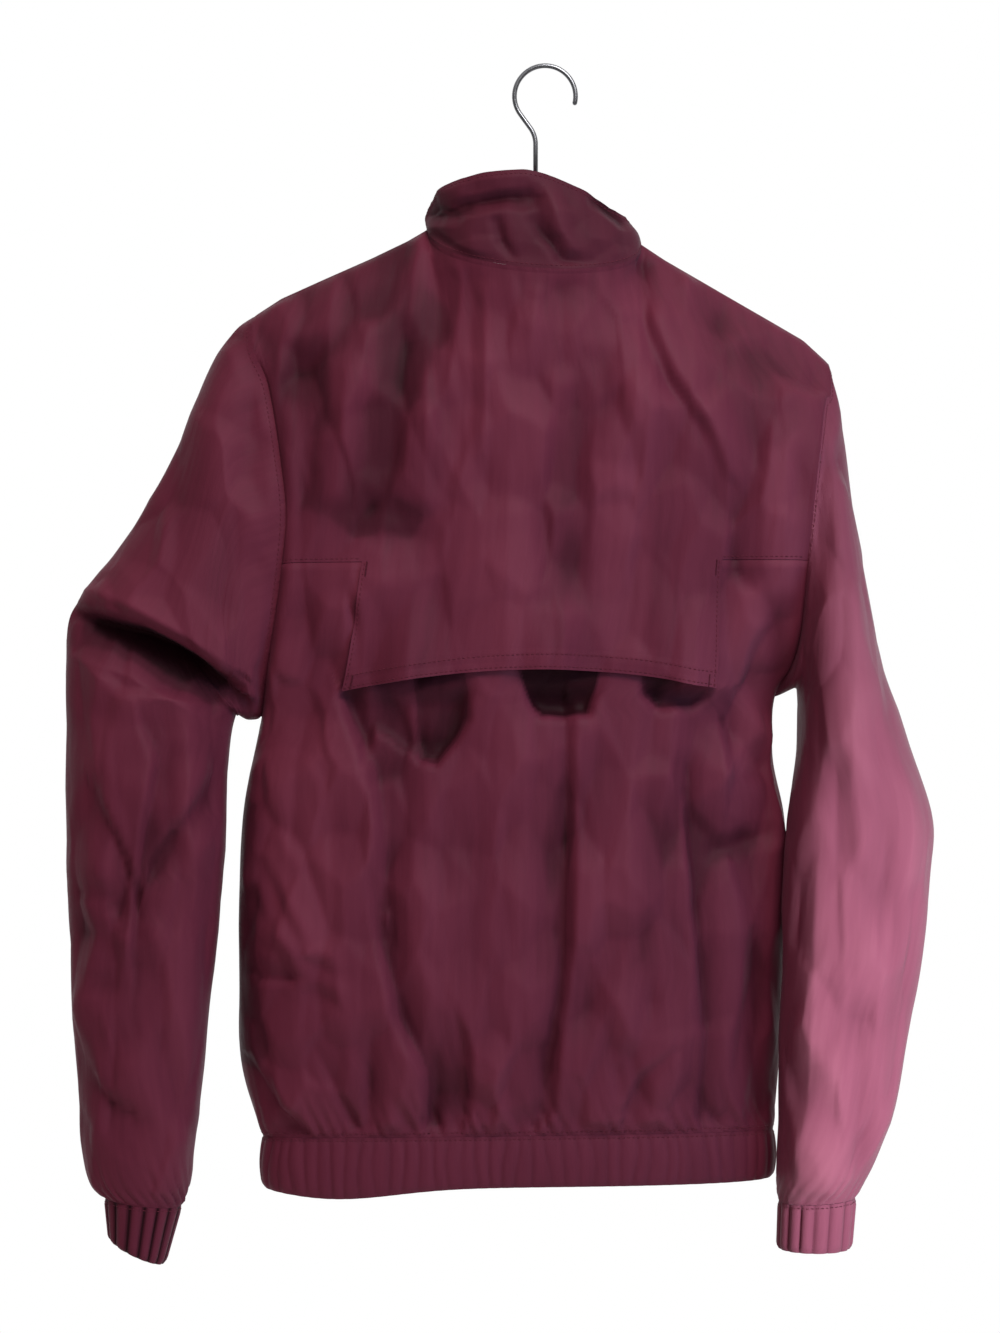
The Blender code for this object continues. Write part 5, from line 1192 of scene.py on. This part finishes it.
def make_back_pieces(back, out, deep):
    """The back panel up to its seam under the yoke, and the yoke with the storm flap over it."""
    x = back[FLAP_EDGE, :, 0]
    first, last = (int(np.argmin(np.abs(x - end))) for end in (FLAP_X_LEFT, FLAP_X_RIGHT))
    rows, columns = back.shape[:2]
    row, at = np.arange(rows)[:, None], np.arange(columns)[None]
    beside = smooth(first - 12, first - 5, at) * (1 - smooth(last + 5, last + 12, at))
    under = np.maximum(smooth(YOKE_SEAM - 1, YOKE_SEAM, row),
                       smooth(FLAP_EDGE - 9, FLAP_EDGE - 3, row) * beside)
    grooves = {"foot": GROOVE, "first": GROOVE, "last": GROOVE}
    hollow = faceted(back, FLAP_FACETS, 5.0, DEPTH) * (1 - under)
    lower = back + out * (grooved(back, grooves) - FLAP_REST * under + hollow)[..., None]
    lower[YOKE_SEAM - 1] = 0.15 * lower[YOKE_SEAM - 1] + 0.85 * (lower[YOKE_SEAM] + FLAP_REST * out[YOKE_SEAM])
    lower = nipped(lower, grooves)
    used = np.ones((rows - 1, columns - 1), bool)
    used[YOKE_SEAM + 6:] = used[YOKE_SEAM:, :8] = used[YOKE_SEAM:, -8:] = False
    # Painted shade in the panel's creases, and the flap's painted shadow on the panel below it
    shade = deep / BODY_SHADE + faceted(back, FLAP_FACETS, 2.8, SHADE)
    panel = cloth("back_panel_cloth", "back_panel", lower, out, NYLON, shade, near_seams(back, grooves), used)
    stitched("back_panel_stitching", inset_lines(lower, out, ("foot", HEM_STITCH)))

    along = smooth(first, first + 24, at) * (1 - smooth(last - 24, last, at))
    hang = 1 - smooth(FLAP_EDGE, YOKE_SEAM, row)
    stand = np.full((rows, columns), FLAP_REST)
    for entry in FLAP_BULGES:
        bulge = named(BULGE, entry)
        stand += bulge["stand"] * np.exp(-(((back[..., 0] - bulge["x"]) / bulge["half_width"]) ** 2)) * along
    yoke = back + out * (stand * hang)[..., None]
    half, centre = (FLAP_X_LEFT - FLAP_X_RIGHT) / 2, (FLAP_X_LEFT + FLAP_X_RIGHT) / 2
    yoke[..., 2] -= FLAP_CORNER_DIP * np.clip(np.abs(yoke[..., 0] - centre) / half, 0, 1) ** 2 * hang
    grooves = {"head": NECK_GROOVE, "first": GROOVE, "last": GROOVE}
    moved, hem = grooved(yoke, grooves), from_edge(yoke[FLAP_EDGE:], "foot")
    moved[FLAP_EDGE:] += -0.5 * np.exp(-(((hem - FLAP_HEM) / 1.6) ** 2)) * beside
    yoke = nipped(yoke + out * moved[..., None], grooves)
    used = np.zeros((rows - 1, columns - 1), bool)
    used[YOKE_SEAM:] = used[FLAP_EDGE:YOKE_SEAM, first:last] = True
    marks = near_seams(yoke, grooves)
    fold = 0.6 * np.exp(-(((hem - FLAP_HEM) / 2.5) ** 2)) * beside
    marks[FLAP_EDGE:] = np.maximum(marks[FLAP_EDGE:], fold)
    # Painted shade in the yoke's creases and along the neck seam
    shade = deep / BODY_SHADE - 0.45 * neck_shade(back)
    piece = cloth("back_yoke_cloth", "back_yoke", yoke, out, NYLON, shade, marks, used, thick=1.2)
    flap, flap_out = (a[FLAP_EDGE:YOKE_SEAM + 1, first:last + 1] for a in (yoke, out))
    upper = (yoke[YOKE_SEAM:], out[YOKE_SEAM:], "foot", EDGE_STITCH)
    edges = [("foot", EDGE_STITCH), ("foot", FLAP_HEM), ("first", EDGE_STITCH), ("last", EDGE_STITCH)]
    lines = inset_lines(flap, flap_out, *edges)
    lines += [inset_line(*upper, 2, first), inset_line(*upper, last, columns - 2)]
    wide, tall = last - first, YOKE_SEAM - FLAP_EDGE
    ends = [(slice(low, low + 4), column)
            for low, inset in ((0, 3), (tall - 3, 2)) for column in (inset, wide - inset)]
    stitched("back_yoke_stitching", lines)
    stitched("bar_tacks", [(flap[end], flap_out[end]) for end in ends], long=0.42, gap=0.06, wide=0.6)


def collar_folded(neck_line):
    """The collar with its folds, its outward directions, and the painted shade of its folds."""
    grid = collar_surface(neck_line)
    out, away = tube_outward(grid), from_edge(grid, "foot")
    calm = calm_ends(grid.shape[1], COLLAR_CALM)
    deep = creased(grid, COLLAR_CREASES) * np.clip(out[..., 1], 0, 1) ** 0.6 * (smooth(0, 7, away) * calm)
    fine = 0.7 * crumple(grid, out, 71, 24.0, 0.2, 1.1) * smooth(0, 10, away) * calm
    return grid + out * (np.maximum(deep, -COLLAR_DEEPEST) + fine)[..., None], out, 1.5 * deep + fine


def make_collar(grid, out, moved):
    shown = sewn(grid, out, {"foot": NECK_GROOVE})
    # Painted shade in the collar's folds, and painted light along its foot by the neck seam
    shade = moved / 6 + 0.5 * (1 - smooth(0, 18, from_edge(grid, "foot")))
    piece = cloth("collar_cloth", "collar", shown, out, SHADED_COLLAR_NYLON, shade, 0.3 * near_seams(grid, ["foot"]),
                  thick=DOUBLED)
    lines = inset_lines(shown, out, ("foot", CASING_STITCH), ("head", HEM_STITCH), ("first", ZIP_STITCH),
                        ("last", ZIP_STITCH))
    stitched("collar_stitching", lines)


def make_band():
    grid = band_surface()
    out = tube_outward(grid)
    out[..., 2] = 0
    out = unit(out)
    ribs, hollow = ribbed(grid, RIB_COLUMNS, 81, 1.3, True)
    shown = cased(grid, out, ribs, 1.6)
    # Painted shade between the band's ribs
    piece = cloth("hem_band_cloth", "hem_band", shown, out, CASING, -0.5 * hollow,
                  near_seams(grid, ["foot"], 3), thick=DOUBLED)
    stitched("hem_band_stitching", inset_lines(shown, out, ("foot", CASING_STITCH)))
    return grid


def make_cuff(side, sleeve_end):
    # Painted shade between the cuff's ribs, much stronger on the left cuff, whose whole side is painted as in
    # shade
    end, shade = (CUFF_LEFT_END, -2.6) if side == "left" else (CUFF_RIGHT_END, -1.0)
    grid = cuff_surface(sleeve_end, end)
    out = tube_outward(grid, wrap=True)
    ribs, hollow = ribbed(grid, CUFF_RIB_COLUMNS, 91, 2.2, False)
    turn = grid.shape[1] // 2
    shown, out, hollow = (np.roll(a, -turn, axis=1) for a in (cased(grid, out, ribs, 1.4), out, hollow))
    piece = cloth("cuff_cloth_" + side, "cuff_" + side, shown, out, CASING, shade * hollow,
                  near_seams(grid, ["foot"], 3), wrap=True, thick=DOUBLED)
    "sleeve_cloth_" + side
    stitched("cuff_stitching_" + side, [inset_ring(shown, out, "foot", CASING_STITCH)])


# ---------------------------------------------------------------- the hard pieces

def deselect():
    if bpy.context.object and bpy.context.object.mode != "OBJECT":
        bpy.ops.object.mode_set(mode="OBJECT")
    for thing in bpy.context.selected_objects:
        thing.select_set(False)


def fitted(made, finish, node):
    made.data.materials.append(finish)
    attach(made, "windbreaker")
    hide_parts(node)


def pushed(way, girth=1.0, centre=(0, 0, 0)):
    """The selected end drawn out along a way, and made wider or narrower there."""
    bpy.ops.mesh.extrude_region_move(TRANSFORM_OT_translate={"value": way})
    if girth != 1.0:
        bpy.ops.transform.resize(value=(girth, girth, girth), center_override=centre)


def make_hook():
    """A round wire: a rounded tip, spun round the hook, turned back into the stem, and run down to the arms."""
    deselect()
    wire = WIRE_RADIUS * MM
    centre = Vector((0, 0, (WIRE_RADIUS - HOOK_RADIUS) * MM))
    tip, end = math.radians(HOOK_TIP_DEG), math.radians(HOOK_END_DEG)
    ahead = Vector((math.sin(tip), 0, -math.cos(tip)))
    at = centre + Vector((math.cos(tip), 0, math.sin(tip))) * HOOK_RADIUS * MM - ahead * 0.8 * wire
    bpy.ops.mesh.primitive_circle_add(vertices=20, radius=0.45 * wire, fill_type="NGON", location=at,
                                      rotation=(0, math.atan2(ahead.x, ahead.z), 0))
    hook = bpy.context.object
    hook.name = "hook_wire"
    bpy.ops.object.transform_apply(location=True, rotation=True, scale=True)
    bpy.ops.object.mode_set(mode="EDIT")
    bpy.ops.mesh.select_all(action="SELECT")
    for run, girth in ((0.3, 0.8 / 0.45), (0.5, 1 / 0.8)):
        at = at + ahead * run * wire
        pushed(ahead * run * wire, girth, at)
    bpy.ops.mesh.spin(steps=72, angle=end - tip, center=centre, axis=(0, 1, 0))
    at = centre + Vector((math.cos(end), 0, math.sin(end))) * HOOK_RADIUS * MM
    ahead = Vector((math.sin(end), 0, -math.cos(end)))
    pushed(ahead * HOOK_STRAIGHT * MM)
    pivot = at + ahead * HOOK_STRAIGHT * MM + Vector((-ahead.z, 0, ahead.x)) * STEM_TURN * MM
    bpy.ops.mesh.spin(steps=16, angle=-end, center=pivot, axis=(0, 1, 0))
    pushed(Vector((0, 0, STEM_FOOT_Z * MM - pivot.z)))
    bpy.ops.mesh.select_all(action="SELECT")
    bpy.ops.mesh.normals_make_consistent(inside=False)
    bpy.ops.object.mode_set(mode="OBJECT")
    hook.data.shade_smooth()
    fitted(hook, STEEL, "hanger_hook")


def make_tooth():
    """One zip tooth lying across the chain: a block that grips the tape, a neck, and a head that locks."""
    deselect()
    bpy.ops.mesh.primitive_cube_add(size=1, location=(0, 0, 0))
    tooth = bpy.context.object
    long, wide, tall = TOOTH_BLOCK
    for corner in tooth.data.vertices:
        x, y, z = corner.co
        corner.co = (x * long * MM + TOOTH_OUT * MM, y * wide * MM, z * tall * MM)
    bpy.ops.object.mode_set(mode="EDIT")
    bpy.ops.mesh.select_mode(type="FACE")
    bpy.ops.mesh.select_all(action="DESELECT")
    bpy.ops.object.mode_set(mode="OBJECT")
    for face in tooth.data.polygons:
        face.select = face.normal.x < -0.9
    bpy.ops.object.mode_set(mode="EDIT")
    for run, growth, at in TOOTH_STEPS:
        bpy.ops.mesh.extrude_region_move(TRANSFORM_OT_translate={"value": (-run * MM, 0, 0)})
        bpy.ops.transform.resize(value=(1, 0.94, growth), center_override=(at * MM, 0, 0))
    bpy.ops.mesh.select_all(action="SELECT")
    bpy.ops.mesh.bevel(offset=0.16 * MM, segments=1, affect="EDGES")
    bpy.ops.mesh.normals_make_consistent(inside=False)
    bpy.ops.object.mode_set(mode="OBJECT")
    return tooth


def make_teeth(edge):
    """The closed chain: one tooth, copied up each tape in turn from the box to the slider."""
    ys, zs = np.array(sorted(edge, key=lambda point: point[1])).T
    foot, head = zs[0] + BOX_LONG + 1.2, zs[-1] - 2.0 - SLIDER_LONG - 1.0
    tooth = make_tooth()
    copies = []
    for k, z in enumerate(np.arange(foot, head, TOOTH_PITCH / 2)):
        y = np.interp(z, zs, ys) + WALL + TAPE_LAP - LAP - CHAIN_THICK / 2
        lean = math.atan2(np.interp(z + 2, zs, ys) - np.interp(z - 2, zs, ys), 4)
        one = tooth.copy()
        one.data = tooth.data.copy()
        spot = Matrix.Translation(Vector((ZIP_X, y, z)) * MM)
        turn = Matrix.Rotation(math.pi * (k % 2), 4, "Z")
        one.data.transform(spot @ Matrix.Rotation(-lean, 4, "X") @ turn)
        bpy.context.scene.collection.objects.link(one)
        copies.append(one)
    bpy.data.objects.remove(tooth)
    deselect()
    for one in copies:
        one.select_set(True)
    bpy.context.view_layer.objects.active = copies[0]
    bpy.ops.object.join()
    teeth = bpy.context.object
    teeth.name = "zip_teeth"
    fitted(teeth, ZIP_METAL, "zip_chain")


def main():
    make_teeth(make_garment())
    make_hook()
    for finish, nodes in ((PLASTIC, ["hanger_arms"]), (TAPE, ["zip_tape_left", "zip_tape_right"]),
                          (ZIP_METAL, ["zip_box", "zip_slider", "zip_pull"])):
        for node in nodes:
            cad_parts[node].data.materials[0] = finish


# ---------------------------------------------------------------- studio

# Each lamp's name, place, aim, size, power, spread in degrees, colour, and the pieces it lights where not all
LAMPS = [
    ("key", (-0.45, 1.35, 0.90), (0.0, 0.0, -0.45), (0.8, 0.8), 24.5, 180, (1.0, 1.0, 1.0), ()),
    ("window", (-0.85, 0.75, -0.45), (-0.15, 0.0, -0.5), (0.5, 0.7), 7.2, 180, (0.22, 0.94, 1.0), CUTS),
    ("strip", (-0.70, 1.0, -0.79), (-0.225, 0.05, -0.70), (0.30, 0.40), 7.8, 50, (0.39, 1.0, 0.76),
     ("sleeve_cloth_right", "cuff_cloth_right")),
]


def make_sky():
    """A white world: full white behind the garment, dimmer on the camera's side, brighter overhead."""
    world = bpy.data.worlds.new("studio")
    bpy.context.scene.world = world
    world.use_nodes = True
    world.node_tree.nodes.clear()
    sky = Nodes(world.node_tree)
    _, y, z = sky.axes(sky.node("ShaderNodeTexCoord").outputs["Generated"])
    level = sky.ramp(y, -0.85, 0.1, 1.0, sky.ramp(z, -0.1, 0.9, 0.20, 0.54))
    shine = sky.node("ShaderNodeBackground", None, {"Color": (1, 1, 1, 1), "Strength": level})
    sky.node("ShaderNodeOutputWorld", None, {0: shine.outputs[0]})


def make_floor():
    bpy.ops.object.select_all(action="DESELECT")
    bpy.ops.mesh.primitive_circle_add(vertices=96, radius=0.9, fill_type="NGON", location=(0.03, 0.06, -1.13))
    floor = bpy.context.object
    floor.name = "studio_floor"
    pale = Finish("pale_floor", Specular_IOR_Level=0.2)
    tint = pale.noise(pale.place(), 3.0, 3)
    colour = pale.mixed(tint, (0.80, 0.80, 0.80, 1), (0.86, 0.86, 0.855, 1))
    floor.data.materials.append(pale.wear(Base_Color=colour, Roughness=0.75 + tint * 0.15))


def make_lamps():
    for name, spot, aim, size, power, spread, tint, lit in LAMPS:
        lamp = bpy.data.lights.new(name, "AREA")
        lamp.shape, lamp.size, lamp.size_y = "RECTANGLE", *size
        lamp.energy, lamp.spread, lamp.color = power, math.radians(spread), tint
        made = bpy.data.objects.new(name, lamp)
        made.location = spot
        made.rotation_mode = "QUATERNION"
        made.rotation_quaternion = (Vector(aim) - Vector(spot)).to_track_quat("-Z", "Y")
        made.visible_camera = False
        bpy.context.scene.collection.objects.link(made)
        if lit:
            made.visible_glossy = False
            made.light_linking.receiver_collection = bpy.data.collections.new("lit_by_" + name)
            for piece in lit:
                made.light_linking.receiver_collection.objects.link(bpy.data.objects[piece])


def make_camera():
    camera = bpy.data.cameras.new("camera")
    camera.sensor_fit, camera.sensor_height, camera.lens = "VERTICAL", 36, 82.5
    made = bpy.data.objects.new("camera", camera)
    made.location = (0.0324, 2.2, -0.4309)
    made.rotation_euler = (math.pi / 2, 0, math.pi)
    bpy.context.scene.collection.objects.link(made)
    bpy.context.scene.camera = made
    bpy.context.scene.view_settings.view_transform = "Standard"


main()
make_sky()
make_floor()
make_lamps()
make_camera()
